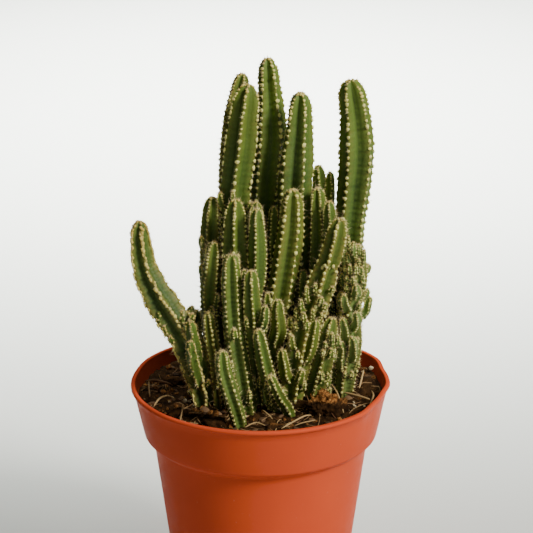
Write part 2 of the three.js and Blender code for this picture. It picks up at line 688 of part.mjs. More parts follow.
// Closed body of one ribbed stem or arm
function stemBody(chain, number) {
  const row = chain.row;
  const small = row.arm && row.r < SMALL_RADIUS;
  const ribs = small ? SMALL_ARM_RIBS : RIBS;
  const points = chain.pts.map((p) => [...p]);
  if (!row.arm) {
    points[0] = add(points[0], unit(sub(points[0], points[1])), BURIED);
  }
  const line = middleLine(points);
  const total = line.total;
  let step = chain.hold < 2 ? BACK_TUFT_STEP : TUFT_STEP;
  if (small) {
    step = SMALL_TUFT_STEP;
  }
  const vertices = [];
  const triangles = [];
  const put = (d, radius, start) => {
    const at = placeOn(line, d);
    const angle = start + ((row.twist || 0) * (total - d) * Math.PI) / 180;
    const across = add(at.centre, at.u, radius * Math.cos(angle));
    vertices.push(add(across, at.v, radius * Math.sin(angle)));
    return vertices.length - 1;
  };
  const edges = [];
  const dips = [];
  const marks = valleyMarks(row, total);
  for (let rib = 0; rib < ribs; rib += 1) {
    const turn = ((row.turn + (360 / ribs) * rib) * Math.PI) / 180;
    edges.push(
      ribEdge(row, total, rib, step, number).map((e) => {
        const base = girth(row, total - e.d, e.d);
        const trim = Math.min(CRENATION * 0.75, base * 0.2);
        const id = put(e.d, Math.max(0.15, base - trim + e.lift), turn);
        return { d: e.d, spined: e.spined, onEdge: true, id };
      }),
    );
    dips.push(
      marks.map((d) => {
        const uneven = 1 + 0.05 * (hash(number * 7 + rib * 3 + d) - 0.5);
        const radius = Math.max(0.1, girth(row, total - d, d) * VALLEY_SHARE * uneven);
        return { d, id: put(d, radius, turn + Math.PI / ribs) };
      }),
    );
  }
  // One face of a flank. The first face beside a chosen seat carries a spine.
  const face = (a, b, c) => {
    const corners = [a, b, c];
    const ids = corners.map((e) => e.id);
    const seat = corners.findIndex((e) => e.spined);
    const fits = seat >= 0 && corners.filter((e) => e.onEdge).length > 1;
    const spine = fits ? spineOn(corners, seat) : null;
    if (spine === null) {
      triangles.push(ids);
      return;
    }
    corners[seat].spined = false;
    const inner = spine.foot.map((p) => vertices.push(p) - 1);
    const point = vertices.push(spine.point) - 1;
    for (let k = 0; k < 3; k += 1) {
      const n = (k + 1) % 3;
      triangles.push([ids[k], ids[n], inner[n]]);
      triangles.push([ids[k], inner[n], inner[k]]);
      triangles.push([inner[k], inner[n], point]);
    }
  };
  // Three-sided spine standing on a face close to its tuft
  const spineOn = (corners, seat) => {
    const at = corners.map((e) => vertices[e.id]);
    const middle = at.reduce((m, p, k) => add(m, p, k === seat ? 0.74 : 0.13), [0, 0, 0]);
    const here = placeOn(line, corners[seat].d);
    let out = sub(at[seat], here.centre);
    out = unit(add(out, here.t, -dot(out, here.t)));
    const lean = 0.7 * (hash(number * 3.3 + corners[seat].d) - 0.4);
    const side = 0.5 * (hash(number * 1.7 + corners[seat].d * 2) - 0.5);
    out = unit(add(add(out, here.t, lean), cross(out, here.t), side));
    const point = add(middle, out, SPINE_LENGTH * (row.r < SMALL_RADIUS ? 0.75 : 1));
    if (!isClear(point, chain)) {
      return null;
    }
    return { foot: at.map((p) => add(middle, sub(p, middle), SPINE_FOOT)), point };
  };
  // Faces between a rib edge and the valley beside it, in step with the run
  const flank = (left, right) => {
    let i = 0;
    let j = 0;
    while (i < left.length - 1 || j < right.length - 1) {
      const nextLeft = i < left.length - 1 ? left[i + 1].d : Infinity;
      const nextRight = j < right.length - 1 ? right[j + 1].d : Infinity;
      if (nextLeft <= nextRight) {
        face(left[i], right[j], left[i + 1]);
        i += 1;
      } else {
        face(left[i], right[j], right[j + 1]);
        j += 1;
      }
    }
  };
  const foot = put(0, 0, 0);
  const tip = put(total, 0, 0);
  for (let rib = 0; rib < ribs; rib += 1) {
    const next = edges[(rib + 1) % ribs];
    for (const [a, b] of [[edges[rib], dips[rib]], [dips[rib], next]]) {
      flank(a, b);
      triangles.push([foot, b[0].id, a[0].id]);
      triangles.push([tip, a[a.length - 1].id, b[b.length - 1].id]);
    }
  }
  const body = solidOf(meshed(vertices, triangles));
  return row.arm ? body : body.trimByPlane([0, 0, 1], HOLE_FLOOR_Z);
}

// Slanting plain hole that takes the buried foot of a stem
function holeFor(chain) {
  const low = chain.pts[0];
  const high = chain.pts[HOLE_SAMPLES];
  const rise = high[2] - low[2];
  const tilt = len(sub(high, low)) / rise;
  let stray = 0;
  for (let i = 1; i < HOLE_SAMPLES; i += 1) {
    const f = (chain.pts[i][2] - low[2]) / rise;
    stray = Math.max(stray, len(sub(chain.pts[i], add(low, sub(high, low), f))));
  }
  const grow = (bulk) => (bulk * tilt + stray + HOLE_GAP) / Math.cos(Math.PI / HOLE_SIDES);
  const bottom = grow(Math.max(chain.bulk[0], chain.bulk[1]));
  const top = grow(chain.bulk[HOLE_SAMPLES]);
  const geometry = new THREE.CylinderGeometry(top, bottom, rise, HOLE_SIDES);
  geometry.rotateX(Math.PI / 2);
  return solidOf(geometry, ([x, y, z]) => {
    const f = z / rise + 0.5;
    const centre = add(low, sub(high, low), f);
    return [centre[0] + x, centre[1] + y, low[2] + f * rise];
  });
}

// Pot with its collar, lip and drain holes
function potBody() {
  const inner = BODY_TOP_RADIUS - WALL;
  const profile = [
    [0, 0],
    [FOOT_RADIUS - FOOT_BEVEL, 0],
    [FOOT_RADIUS, FOOT_BEVEL],
    [BODY_TOP_RADIUS, BODY_TOP_Z],
    [BODY_TOP_RADIUS + 1, BODY_TOP_Z + 1.1],
    [COLLAR_BOTTOM_RADIUS, COLLAR_BOTTOM_Z],
    [COLLAR_TOP_RADIUS, POT_HEIGHT - LIP_DEPTH - 0.4],
    [RIM_RADIUS, POT_HEIGHT - LIP_DEPTH],
    [RIM_RADIUS, POT_HEIGHT - 0.4],
    [RIM_RADIUS - 0.4, POT_HEIGHT],
    [LIP_INNER_RADIUS, POT_HEIGHT],
    [COLLAR_BOTTOM_RADIUS - WALL, COLLAR_BOTTOM_Z + 0.3],
    [inner, BODY_TOP_Z],
    [FOOT_RADIUS - WALL, BASE_THICKNESS],
    [0, BASE_THICKNESS],
  ];
  const pressed = ([x, y, z]) => {
    const angle = Math.atan2(y, x);
    const amount = smooth((z - COLLAR_BOTTOM_Z) / (POT_HEIGHT - COLLAR_BOTTOM_Z));
    let out = 1;
    for (const [at, width, far] of RIM_BENDS) {
      out += (far / RIM_RADIUS) * amount * Math.exp(-(((angle - at) / width) ** 4));
    }
    return [x * out, y * out, z];
  };
  let body = solidOf(turned(profile, POT_SIDES), pressed);
  for (let i = 0; i < DRAIN_HOLES; i += 1) {
    const angle = ((i + 0.5) * 2 * Math.PI) / DRAIN_HOLES;
    const hole = new THREE.CylinderGeometry(DRAIN_HOLE_RADIUS, DRAIN_HOLE_RADIUS, 4, 12);
    hole.rotateX(Math.PI / 2);
    hole.translate(DRAIN_HOLE_CIRCLE * Math.cos(angle), DRAIN_HOLE_CIRCLE * Math.sin(angle), 0.5);
    body = body.subtract(solidOf(hole));
  }
  return body;
}

// Height of the lumpy top of the mix
function mixTop(x, y) {
  const mound = MIX_MOUND * (1 - smooth(Math.sqrt(x * x + y * y) / (RIM_RADIUS - 3.5)));
  const waves = 0.5 * Math.sin(x * 0.33 + 1.3) * Math.cos(y * 0.29 - 0.4);
  const lumps = 0.4 * Math.sin(x * 0.81 + y * 0.47) * Math.sin(y * 0.92 - x * 0.21 + 2);
  return MIX_EDGE_Z + mound + waves + lumps;
}

// Potting mix: it fills the pot and its top is uneven
function mixBody() {
  const profile = [
    [0, BASE_THICKNESS],
    [FOOT_RADIUS - WALL - MIX_GAP, BASE_THICKNESS],
    [BODY_TOP_RADIUS - WALL - MIX_GAP, BODY_TOP_Z],
    [COLLAR_BOTTOM_RADIUS - WALL - MIX_GAP - 0.1, COLLAR_BOTTOM_Z + 0.6],
  ];
  for (let i = 0; i <= MIX_RINGS; i += 1) {
    profile.push([MIX_EDGE_RADIUS * (1 - i / MIX_RINGS), MIX_EDGE_Z]);
  }
  return solidOf(turned(profile, MIX_SIDES), ([x, y, z]) => {
    const onTop = z > MIX_EDGE_Z - 0.01;
    return [x, y, onTop ? mixTop(x, y) : z];
  });
}

// Angular lump of peat, bark or grit sunk into the mix
function lumpBody([x, y, z, sx, sy, sz, turn], number) {
  const c = Math.cos(turn);
  const s = Math.sin(turn);
  return solidOf(new THREE.IcosahedronGeometry(1, 0), (p) => {
    const [px, py, pz] = p.map((v) => Math.round(v * 50));
    const k = 0.85 + 0.3 * hash(px + py * 3.1 + pz * 7.7 + number * 3.7);
    const [ax, ay, az] = [p[0] * sx * k, p[1] * sy * k, p[2] * sz * k];
    return [x + ax * c - ay * s, y + ax * s + ay * c, z + az];
  });
}

// Stem with its arms fused to it, without slivers or sealed pockets
function fusedStem(name) {
  let body = null;
  chains.forEach((chain, number) => {
    if (chain.node === name) {
      const piece = stemBody(chain, number);
      body = body === null ? piece : body.add(piece);
    }
  });
  const shells = body.simplify(SLIVER).decompose();
  shells.sort((a, b) => b.volume() - a.volume());
  return shells[0];
}

const group = new THREE.Group();
group.name = "potted_cactus";

// Add one named piece to the group
function place(name, body, color, roughness) {
  const material = new THREE.MeshStandardMaterial({ name, color, roughness });
  const mesh = new THREE.Mesh(geometryOf(body), material);
  mesh.name = name;
  group.add(mesh);
}

const chains = makeChains();
ease(chains);

place("pot", potBody(), 0xc8582c, 0.5);

const lumpy = (body, lump, i) => body.add(lumpBody(lump, i));
const drilled = (body, chain) => (chain.parent < 0 ? body.subtract(holeFor(chain)) : body);
const soil = chains.reduce(drilled, LUMPS.reduce(lumpy, mixBody()).simplify(SLIVER));
place("soil", soil.simplify(SLIVER), 0x3a2a1e, 1.0);

const GREENS = [0x5d7f2e, 0x6b8a34, 0x547538, 0x4f6d2a];
STEMS.forEach((row, i) => place(row.name, fusedStem(row.name), GREENS[i % GREENS.length], 0.75));

export default group;
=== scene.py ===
# Potted clustering cactus: finished surfaces for the pot, the mix and the stems
import json
import math
from itertools import combinations

import bpy
import numpy as np
from mathutils import Matrix, Vector

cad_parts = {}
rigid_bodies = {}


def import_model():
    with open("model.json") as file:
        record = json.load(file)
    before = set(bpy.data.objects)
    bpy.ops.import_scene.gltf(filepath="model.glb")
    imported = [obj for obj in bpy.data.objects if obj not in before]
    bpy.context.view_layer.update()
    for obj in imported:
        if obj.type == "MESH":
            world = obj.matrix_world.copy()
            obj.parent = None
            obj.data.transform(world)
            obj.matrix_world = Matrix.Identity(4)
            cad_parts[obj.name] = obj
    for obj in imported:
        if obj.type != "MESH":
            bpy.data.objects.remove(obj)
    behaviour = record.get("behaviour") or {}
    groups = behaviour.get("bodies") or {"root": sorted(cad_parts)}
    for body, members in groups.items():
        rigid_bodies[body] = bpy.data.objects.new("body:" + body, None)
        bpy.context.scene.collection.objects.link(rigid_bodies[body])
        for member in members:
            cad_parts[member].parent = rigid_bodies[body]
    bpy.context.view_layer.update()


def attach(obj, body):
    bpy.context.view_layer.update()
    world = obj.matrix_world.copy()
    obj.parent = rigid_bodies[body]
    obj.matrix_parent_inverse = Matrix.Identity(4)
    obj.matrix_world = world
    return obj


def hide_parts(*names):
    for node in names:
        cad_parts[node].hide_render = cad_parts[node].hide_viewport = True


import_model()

# Lengths are in millimetres here, and meshes are stored in metres
MM = 0.001
UP = np.array([0.0, 0.0, 1.0])
rng = np.random.default_rng(7)

# Camera, worked out from the ellipse of the pot's lip in a square picture
IMAGE_SIZE = 533
RIM_HEIGHT = 77.0
CAMERA_DISTANCE = 850.0
CAMERA_RISE = math.radians(22.189)
FOCAL_PIXELS = 2594.6
RIM_PIXEL = (260.04, 380.98)
SENSOR_MM = 36.0

# Pot, as in the solid model
POT_HEIGHT = 77.0
RIM_RADIUS = 42.5
LIP_DEPTH = 1.4
LIP_INNER_RADIUS = 41.0
COLLAR_TOP_RADIUS = 41.6
COLLAR_BOTTOM_RADIUS = 38.3
COLLAR_BOTTOM_Z = 60.6
BODY_TOP_RADIUS = 35.1
BODY_TOP_Z = 57.2
FOOT_RADIUS = 27.4
FOOT_BEVEL = 1.1
WALL = 1.1
BASE_THICKNESS = 1.6
DRAIN_HOLES = 6
DRAIN_HOLE_RADIUS = 3.2
DRAIN_HOLE_CIRCLE = 18.5
POT_SIDES = 120
HOLE_SIDES = 32
RIM_BENDS = [(0.62, 0.27, 2.2), (2.42, 0.4, 1.0), (-0.36, 0.25, -1.2)]

# Potting mix, as in the solid model
MIX_EDGE_Z = 72.6
MIX_MOUND = 1.9
HEAP_PLACE = (35.0, 11.0)
HEAP_HEIGHT = 2.0
HEAP_WIDTH = 8.5
MIX_RINGS = 60
MIX_SIDES = 220

# Stems, as in the solid model
RIBS = 5
SMALL_ARM_RIBS = 4
SMALL_RADIUS = 2.4
SAMPLE_STEP = 3.2
ARM_SAMPLE_STEP = 2.56
NEST = 0.97
CLEARANCE = 0.4
EASING_ROUNDS = 160
EASING = 0.45
TIP_LENGTH = 1.1
TAPER_LENGTH = 4.4
TAPER_SHARE = 0.72
FOOT_SHARE = 0.9
FOOT_RUN = (12, 36)
NECK_SHARE = 0.55
NECK_RUN = 0.9
INSIDE_SHARE = 0.7
JOINT_DEPTH = 0.17
JOINT_REACH = 2.6

# Places along a line through a few points
FINE_PARTS = 16

# How the crowded stems are kept apart
FARTHEST_PAIR = 40
ARM_OVERLAP = 0.2
SPREAD_ROUNDS = 3
FIXED_SAMPLES = 3
ROOT_PULL = 0.6
LIP_ROOM = 2.2
LIP_ROOM_ABOVE = 3
EDGE_ROOM = 0.15


def stem_row(name, radius, turn, hold, line, arms=(), **form):
    """One stem: name, radius, first rib's angle, firmness, middle line, arms and special form."""
    return dict(form, name="stem_" + name, r=radius, turn=turn, hold=hold, line=line, arms=arms)


def arm_row(at, radius, turn, *line):
    """One arm: share of its stem below it, radius, first rib's angle and middle line."""
    return {"at": at, "r": radius, "turn": turn, "line": list(line)}


# The stems as in the solid model, with what the finished surface adds to them.
# blunt, foot, peak, reach, lower, joint and twist: where a stem differs from the plain form
# buds: how many small pups the solid model leaves out, between which shares of the
#   stem's length and, for some, between which turns from the way the stem faces
# bud_share: how large they are against the usual ones
# tone: from bluish green at 0 to olive at 1
# pale: how grey and pale the skin is, partly its own grey, partly painted light on dark crowded stems
# dry: how dry and brown it is, with golden rib edges
# shade: how much painted shade darkens and dulls its skin
# tufts: distance between its tufts, and ragged: uneven ribs with larger tufts
STEMS = [
    stem_row("tall_centre", 6.05, -7, 5, [
        [-5.5, 3.5, 61], [-5.8, 3.5, 73], [-8, 3, 110], [-8.3, 3, 137], [-7.1, 3, 148], [-5.9, 3, 157],
        [-4.9, 3, 167.5], [-3.6, 3, 176.6],
    ], [
        arm_row(0.64, 1.8, 10, [-12.2, 1, 137.5], [-12.9, 0.6, 141.5]),
    ], lower=(0.87, 14, 27), buds=(3, 0.5, 0.7), tone=0.72),
    stem_row("tall_left", 3.8, 20, 3, [
        [-8.5, 13.5, 61], [-8.8, 13.5, 73], [-10.4, 13, 120], [-10.2, 13, 148], [-8.4, 13.5, 164],
        [-5.5, 14, 177.2],
    ], buds=(3, 0.6, 0.82, -0.9, 0.1), tone=0.7, dry=0.6),
    stem_row("tallest", 4.95, -38, 4, [
        [2.6, 9, 61], [2.4, 9, 73], [2.4, 10, 120], [2.9, 10.5, 142.8], [3.5, 11, 154], [3.2, 12, 166],
        [2.3, 13, 182.6],
    ], [
        arm_row(0.5, 2.6, 30, [8.4, 14.2, 125], [9.4, 15.6, 146]),
    ], foot=0.8, peak=0.64, lower=(1.12, 14, 24), buds=(3, 0.4, 0.56), tone=0.4),
    stem_row("tall_right_centre", 5.2, 26, 4, [
        [9.8, 3.2, 61], [9.9, 3.4, 73], [9.8, 4, 110], [10.7, 4, 144.7], [12.2, 4, 161.4],
        [12.8, 4, 173.7],
    ], foot=0.8, lower=(1.14, 12, 26), tone=0.2),
    stem_row("tall_right", 5.95, -29, 6, [
        [22.8, 7.6, 61], [23.4, 7.4, 73], [26.8, 6, 95], [28.2, 5, 111], [28.6, 4, 126], [29.9, 4, 140],
        [31, 4, 153], [30.3, 4, 165], [28.3, 3, 178.1],
    ], [
        arm_row(0.3, 1.9, 0, [33.8, 8.6, 97], [35.6, 9.2, 103]),
    ], blunt=1.12, lower=(0.92, 30, 46), buds=(26, 0.16, 0.44, -2.0, 0.8), tone=0.35),
    stem_row("middle_left_back", 3.6, -20, 6, [
        [-13.6, 2.4, 61], [-14, 2.4, 73], [-15.2, 2.6, 112], [-15.1, 2.8, 127], [-14.9, 3, 139.3],
    ], buds=(4, 0.5, 0.8, -0.8, 1.2), dry=0.5),
    stem_row("middle_left", 3.5, 36, 3, [
        [-13.2, -5.4, 61], [-13.6, -5.4, 73], [-16, -5, 104], [-15.6, -5, 117], [-14.6, -5, 127],
    ], [
        arm_row(0.6, 2.4, 20, [-12.2, -2.2, 106], [-11.6, -1.6, 125.5]),
    ], buds=(4, 0.35, 0.7), dry=0.45),
    stem_row("middle_centre", 4.4, -8, 4, [
        [-4.8, -5.8, 61], [-5, -5.8, 73], [-6.6, -6, 100], [-8, -6.4, 122], [-7.7, -6.5, 141.6],
    ], [
        arm_row(0.44, 3.2, -6, [-3.2, -9.4, 103], [-0.9, -10.5, 120], [-1.1, -10.6, 139.9]),
    ], buds=(5, 0.4, 0.75)),
    stem_row("middle_right", 4.8, -39, 5, [
        [2.8, -2.8, 61], [3, -3, 73], [5, -5, 95], [6.5, -6, 108], [8.4, -6, 121], [9.8, -6, 133],
        [10.3, -6, 144.7],
    ], [
        arm_row(0.42, 2.9, 15, [0.4, -3.6, 106], [-1.1, -3.8, 122], [-1.4, -4, 140]),
        arm_row(0.62, 2.0, 0, [4.2, -1.2, 118], [4.2, -0.4, 137.2]),
        arm_row(0.5, 1.8, 30, [2.4, -9.2, 107.4], [2, -10.2, 111.5]),
        arm_row(0.35, 2.8, 12, [7, -11, 98.5], [6, -13.8, 105], [5.6, -14.2, 110.6]),
    ], buds=(5, 0.3, 0.55), tone=0.85, dry=0.35),
    stem_row("leaning_right", 4.6, -21, 5, [
        [9.9, -7.3, 61], [10.2, -7.4, 73], [11.6, -7.6, 85], [13.7, -8.2, 94.5], [17.1, -9, 107],
        [20.6, -10, 118.5], [23.3, -11, 127], [25.4, -11.2, 136.7],
    ], [
        arm_row(0.3, 2.2, 10, [15.6, -11.4, 91.5], [17.7, -12.4, 103]),
        arm_row(0.2, 1.7, 0, [12.4, -12.2, 82], [13.4, -13.4, 86.4]),
        arm_row(0.24, 2.1, 0, [8.2, -13.8, 84.5], [6.8, -16.6, 94.6]),
        arm_row(0.44, 1.8, 0, [10.3, -10.2, 99.6], [9.3, -11.2, 103.6]),
        arm_row(0.58, 2.3, 20, [14.2, -4.6, 106], [13.7, -4, 117]),
    ], lower=(1.12, 14, 42), joint=15.5, twist=0.7,
        buds=(30, 0.22, 0.7, -0.9, 2.3), tone=0.75, dry=0.7, tufts=2.0),
    stem_row("middle_right_back", 3.3, 12, 3, [
        [16.4, 1.6, 61], [16.4, 1.4, 73], [17.4, 0.4, 105], [18.3, 0, 125], [18.1, 0, 143.4],
    ], [
        arm_row(0.56, 2.7, -10, [21.6, -3.4, 118], [22.4, -4.4, 130], [21.8, -4.8, 140.4]),
    ], buds=(4, 0.5, 0.8)),
    stem_row("slim_right_back", 3.0, 0, 2, [
        [16.6, 10.2, 61], [16.8, 10, 73], [17.6, 8, 110], [18.6, 6.6, 135], [18.1, 6, 148.9],
    ], [
        arm_row(0.7, 1.9, 20, [21.8, 6.4, 131], [22.3, 5.4, 146.9]),
    ]),
    stem_row("arching_left", 5.5, -47, 8, [
        [-18, -10.6, 61], [-18.4, -10.8, 73], [-20.4, -11.2, 85], [-23.2, -11.4, 94],
        [-26.4, -11, 99.6], [-29.5, -10.2, 104.5], [-32.8, -9, 109.6], [-35.7, -7.2, 114.8],
        [-37.9, -6.2, 120.6], [-38.9, -5.8, 127], [-38.2, -5.6, 134],
    ], [
        arm_row(0.3, 2.3, 5, [-21.4, -16, 96.5], [-22.4, -17.2, 104.6]),
        arm_row(0.2, 2.1, -15, [-21.2, -17, 88.5], [-22.4, -19.6, 98.6]),
        arm_row(0.42, 1.8, 0, [-23, -8.4, 102], [-21.8, -7.6, 106]),
    ], foot=0.66, peak=0.58, reach=5.8, buds=(8, 0.22, 0.56),
        tone=0.2, dry=0.5, shade=0.85, tufts=1.4, ragged=True),
    stem_row("short_left", 2.3, 14, 3, [
        [-13, -13.2, 61], [-13.3, -13.2, 73], [-15.4, -12.6, 92], [-16.7, -13, 106.1],
    ], buds=(3, 0.35, 0.7), tone=0.8, dry=0.7, shade=0.75),
    stem_row("front_tall", 3.5, -36, 6, [
        [-4, -18.4, 61], [-4.4, -18, 73], [-6, -17, 84], [-8, -15.6, 98], [-9, -14.8, 112],
        [-9.3, -14.5, 125.9],
    ], [
        arm_row(0.6, 1.4, 0, [-8.4, -20, 100], [-8.4, -21, 103.4]),
    ], blunt=1.5, foot=1.1, buds=(4, 0.22, 0.5)),
    stem_row("front_centre", 3.05, 0, 5, [
        [1, -11.4, 61], [0.8, -11.6, 73], [-1, -13.6, 92], [-2.4, -16, 108], [-3, -16.6, 121.3],
    ], [
        arm_row(0.62, 1.7, 0, [1, -18.6, 105], [1.6, -19.6, 110.5]),
    ], blunt=1.2, buds=(5, 0.3, 0.75), tone=0.35, dry=0.25),
    stem_row("front_low", 2.8, -14, 5, [
        [5.6, -16.4, 61], [5.4, -16.8, 73], [3.4, -18.6, 83], [1.1, -20, 92.5], [-0.8, -21, 103.1],
    ], buds=(3, 0.3, 0.6), tone=0.3),
    stem_row("front_small", 2.2, 10, 5, [
        [9.8, -17.8, 61], [9.1, -18.8, 73], [5.7, -22, 81], [3, -24, 88.6],
    ]),
    stem_row("front_left", 3.05, 41, 6, [
        [-6, -27.8, 61], [-6.6, -28, 73], [-9.3, -28.8, 83.7], [-11.5, -28.4, 91.7], [-12.1, -28, 98.7],
    ], tone=0.35, shade=0.45),
    stem_row("right_small", 3.8, -10, 5, [
        [15.8, -5.4, 61], [16.2, -5.6, 73], [18.8, -6.6, 85], [21, -7.4, 94], [23.3, -8, 102.2],
    ], buds=(9, 0.45, 0.95), pale=0.3, dry=0.4),
    stem_row("right_slim", 2.6, 16, 3, [
        [21, -1.6, 61], [21.3, -1.8, 73], [24.3, -4, 87], [25.8, -5.6, 98.6],
    ], buds=(10, 0.4, 0.97), pale=0.5),
    stem_row("right_outer", 3.9, -18, 5, [
        [25.6, -1.8, 61], [25.9, -2, 73], [26.8, -2.8, 84], [28.2, -4, 96], [29.5, -5, 107],
        [31.4, -6, 117], [30.6, -6, 126.2],
    ], [
        arm_row(0.28, 1.9, 0, [25.4, -7.2, 90.4], [24.6, -8.2, 94]),
        arm_row(0.35, 2.0, 20, [29.6, -8.4, 92], [29.2, -9.4, 96]),
        arm_row(0.44, 2.1, 10, [26.6, -8.4, 98.6], [25.8, -9.4, 102.6]),
        arm_row(0.52, 2.0, 0, [30.6, -9.6, 101.6], [30.4, -10.6, 105]),
        arm_row(0.6, 2.0, 30, [27.1, -9.2, 107.6], [26.6, -10.2, 111]),
        arm_row(0.7, 2.0, 15, [30.8, -10.2, 111.4], [30.4, -11, 114.6]),
        arm_row(0.66, 1.6, 0, [33.8, -6.4, 109.6], [34.3, -6.6, 111.6]),
        arm_row(0.8, 1.7, 0, [34, -6.6, 118], [34.6, -7, 120]),
    ], buds=(96, 0.3, 0.97, -2.4, 0.9), tone=0.35, pale=1.0, dry=0.3, tufts=1.5, bud_share=0.8),
    stem_row("back_left", 4.2, 30, 1, [
        [-7.6, 24, 61], [-7.6, 24, 73], [-6, 24.6, 110], [-3, 24, 156],
    ], [
        arm_row(0.45, 2.1, 0, [-12.4, 28.4, 108], [-13.2, 29.4, 118]),
    ], buds=(3, 0.3, 0.6)),
    stem_row("back_centre", 4.6, 10, 1, [
        [3.4, 19.4, 61], [3.6, 19.6, 73], [4.6, 21, 110], [6.8, 21, 156],
    ], [
        arm_row(0.4, 2.2, 0, [8.6, 26, 100], [10, 27.4, 112]),
    ], buds=(3, 0.3, 0.6)),
    stem_row("back_right", 3.8, 50, 1, [
        [12.4, 13.2, 61], [12.4, 13.4, 73], [13.6, 14.6, 110], [15, 15, 139],
    ]),
    stem_row("back_far_left", 3.8, 0, 1, [
        [-13.6, 18.6, 61], [-13.6, 18.4, 73], [-13.2, 17.4, 100], [-13.4, 16.4, 134],
    ], [
        arm_row(0.3, 2.0, 0, [-18.4, 20, 88], [-19.4, 20.8, 94]),
    ]),
    stem_row("back_far_right", 3.6, 20, 1, [
        [13.6, 24.6, 61], [13.8, 24.8, 73], [15.6, 26, 96], [17, 27, 119],
    ]),
    stem_row("back_edge", 3.4, 0, 1, [
        [-2.8, 31, 61], [-3, 31, 73], [-4, 32.6, 98], [-5, 33.4, 121],
    ], [
        arm_row(0.5, 1.8, 0, [-0.4, 36, 95], [0.4, 36.8, 101.4]),
    ], buds=(3, 0.3, 0.7)),
    stem_row("back_outer", 3.4, 40, 1, [
        [22, 17, 61], [22.4, 17, 73], [24.4, 18, 94], [25, 18.6, 112],
    ], [
        arm_row(0.45, 1.8, 0, [28.6, 20.4, 88], [30, 21, 94]),
    ], buds=(4, 0.3, 0.8)),
    stem_row("back_small_left", 2.9, 0, 1, [
        [-19.6, 20, 61], [-20, 20, 73], [-22, 21, 82], [-23.4, 21.8, 91],
    ]),
    stem_row("back_small_right", 2.9, 0, 1, [
        [6.2, 31.2, 61], [6.4, 31.4, 73], [8, 33, 88], [8.6, 33.6, 102],
    ]),
    stem_row("side_small_left", 2.8, 0, 1, [
        [-21.4, 1.6, 61], [-22, 1.6, 73], [-21.6, 2, 88], [-20.2, 2.6, 101],
    ]),
]

# The same, where a stem doesn't say, and how arms and pups vary from it
USUAL_TONE = 0.5
TONE_VARIETY = 0.1
ARM_TONE_VARIETY = 0.22
ARM_BLOOM_VARIETY = 0.3
USUAL_DRYNESS = 0.12
ARM_DRYNESS = 0.3

# Tufts: lumpy pads of wool, and fans of spines
LEAST_WOOL = 0.03
WOOL_SHARE = 0.25
WOOL_SIZES = (0.6, 1.2)
TIP_WOOL = 0.85
PAD_HEIGHT = 0.55
PAD_LENGTH = 0.92
PAD_WIDTH = 0.98
PAD_SWELL = 1.08
PAD_LUMPS = 0.22
PAD_NARROWING = 0.45
PAD_DROOP = 0.25
SIDE_SWING = 0.5
SIDE_REACH = 0.5
SIDE_SIZES = (0.42, 0.6)
SIDE_FLATNESS = 0.9
LEAST_TAN = 0.04
TIP_TAN = 0.6
TIP_TAN_REACH = 0.8
TAN_RANGE = (-0.12, 0.18)
LOWER_TAN = 0.45
RAGGED_WOOL = 1.5
RAGGED_PAD_LENGTH = 1.35
RAGGED_STRAY = 3
RAGGED_TAN = 0.5
DUSTY_Z = 96
DUSTY_RUN = 26
UNEVEN_WOOL = 0.3
SPINE_LENGTH = 1.2
SPINE_LENGTHS = (0.6, 1.1)
SPINE_START = 0.15
SPINE_STRAY = 0.3
SPINE_THICKNESS = 0.12
SPINES_PER_TUFT = 5
SPINE_FANS = 6
SPINE_TILTS = (0.25, 0.75)
MIDDLE_SPINE_TILTS = (1.1, 1.4)
LONG_SPINE = 1.9
FAN_SIZES = (0.75, 1.15)
SLIM_FAN = 0.62
FAN_GROWTH = 0.075
CROWN_RADIUS = 3.0
CROWN_TUFTS = 6
SMALL_CROWN_TUFTS = 4
CROWN_DROP = 0.06
CROWN_SPREAD = 0.2
CROWN_TILTS = (0.05, 0.5)
JOINT_TUFTS = 22
JOINT_SPREAD = (-1.1, 0.6)
JOINT_STRAY = 0.1
BURIED_SHARE = 0.8

# Small pups that the solid model leaves out
BUD_SEED = 19
BUD_RADII = (0.7, 1.45)
BUD_LENGTHS = (1.8, 5.4)
BUD_TRIES = 9
BUD_TURNS = (-1.5, 1.5)
BUD_SAMPLE_STEP = 1.3
BUD_ROOT_SHARE = 0.8
BUD_KNEE_SHARE = 0.6
BUD_KNEE_RISE = 0.8
BUD_TIP_SHARE = 1.25
BACK_Y = 8

# Loose things on the mix
FIBRE_SEED = 41
FIBRE_COUNT = 170
FLAT_SIDES = 5
CLOD_SEED = 5
CLOD_FACES = 16
CLOD_DEPTHS = (0.66, 0.95)
CLOD_REACH = 1.2
BIG_CLOD = 5.0
MOSS_HAIRS = 60
MOSSY = 0.9
STRAND_PARTS = 12
FIBRE_LENGTHS = (3, 12)
FIBRE_RADII = (0.09, 0.24)
FIBRE_SHADES = (0, 0.65)
FIBRE_POINTS = 5
FIBRE_LIFTS = (0.15, 0.6)
FIBRE_END_LIFT = 1.6
FIBRE_CURL = 0.13
FIBRE_WALL_GAP = 0.8
LUMP_TILT = 0.5
LUMP_WIDTHS = (0.5, 0.9)
LUMP_ROUGHNESS = 0.3
FACET_DEPTH = 0.5

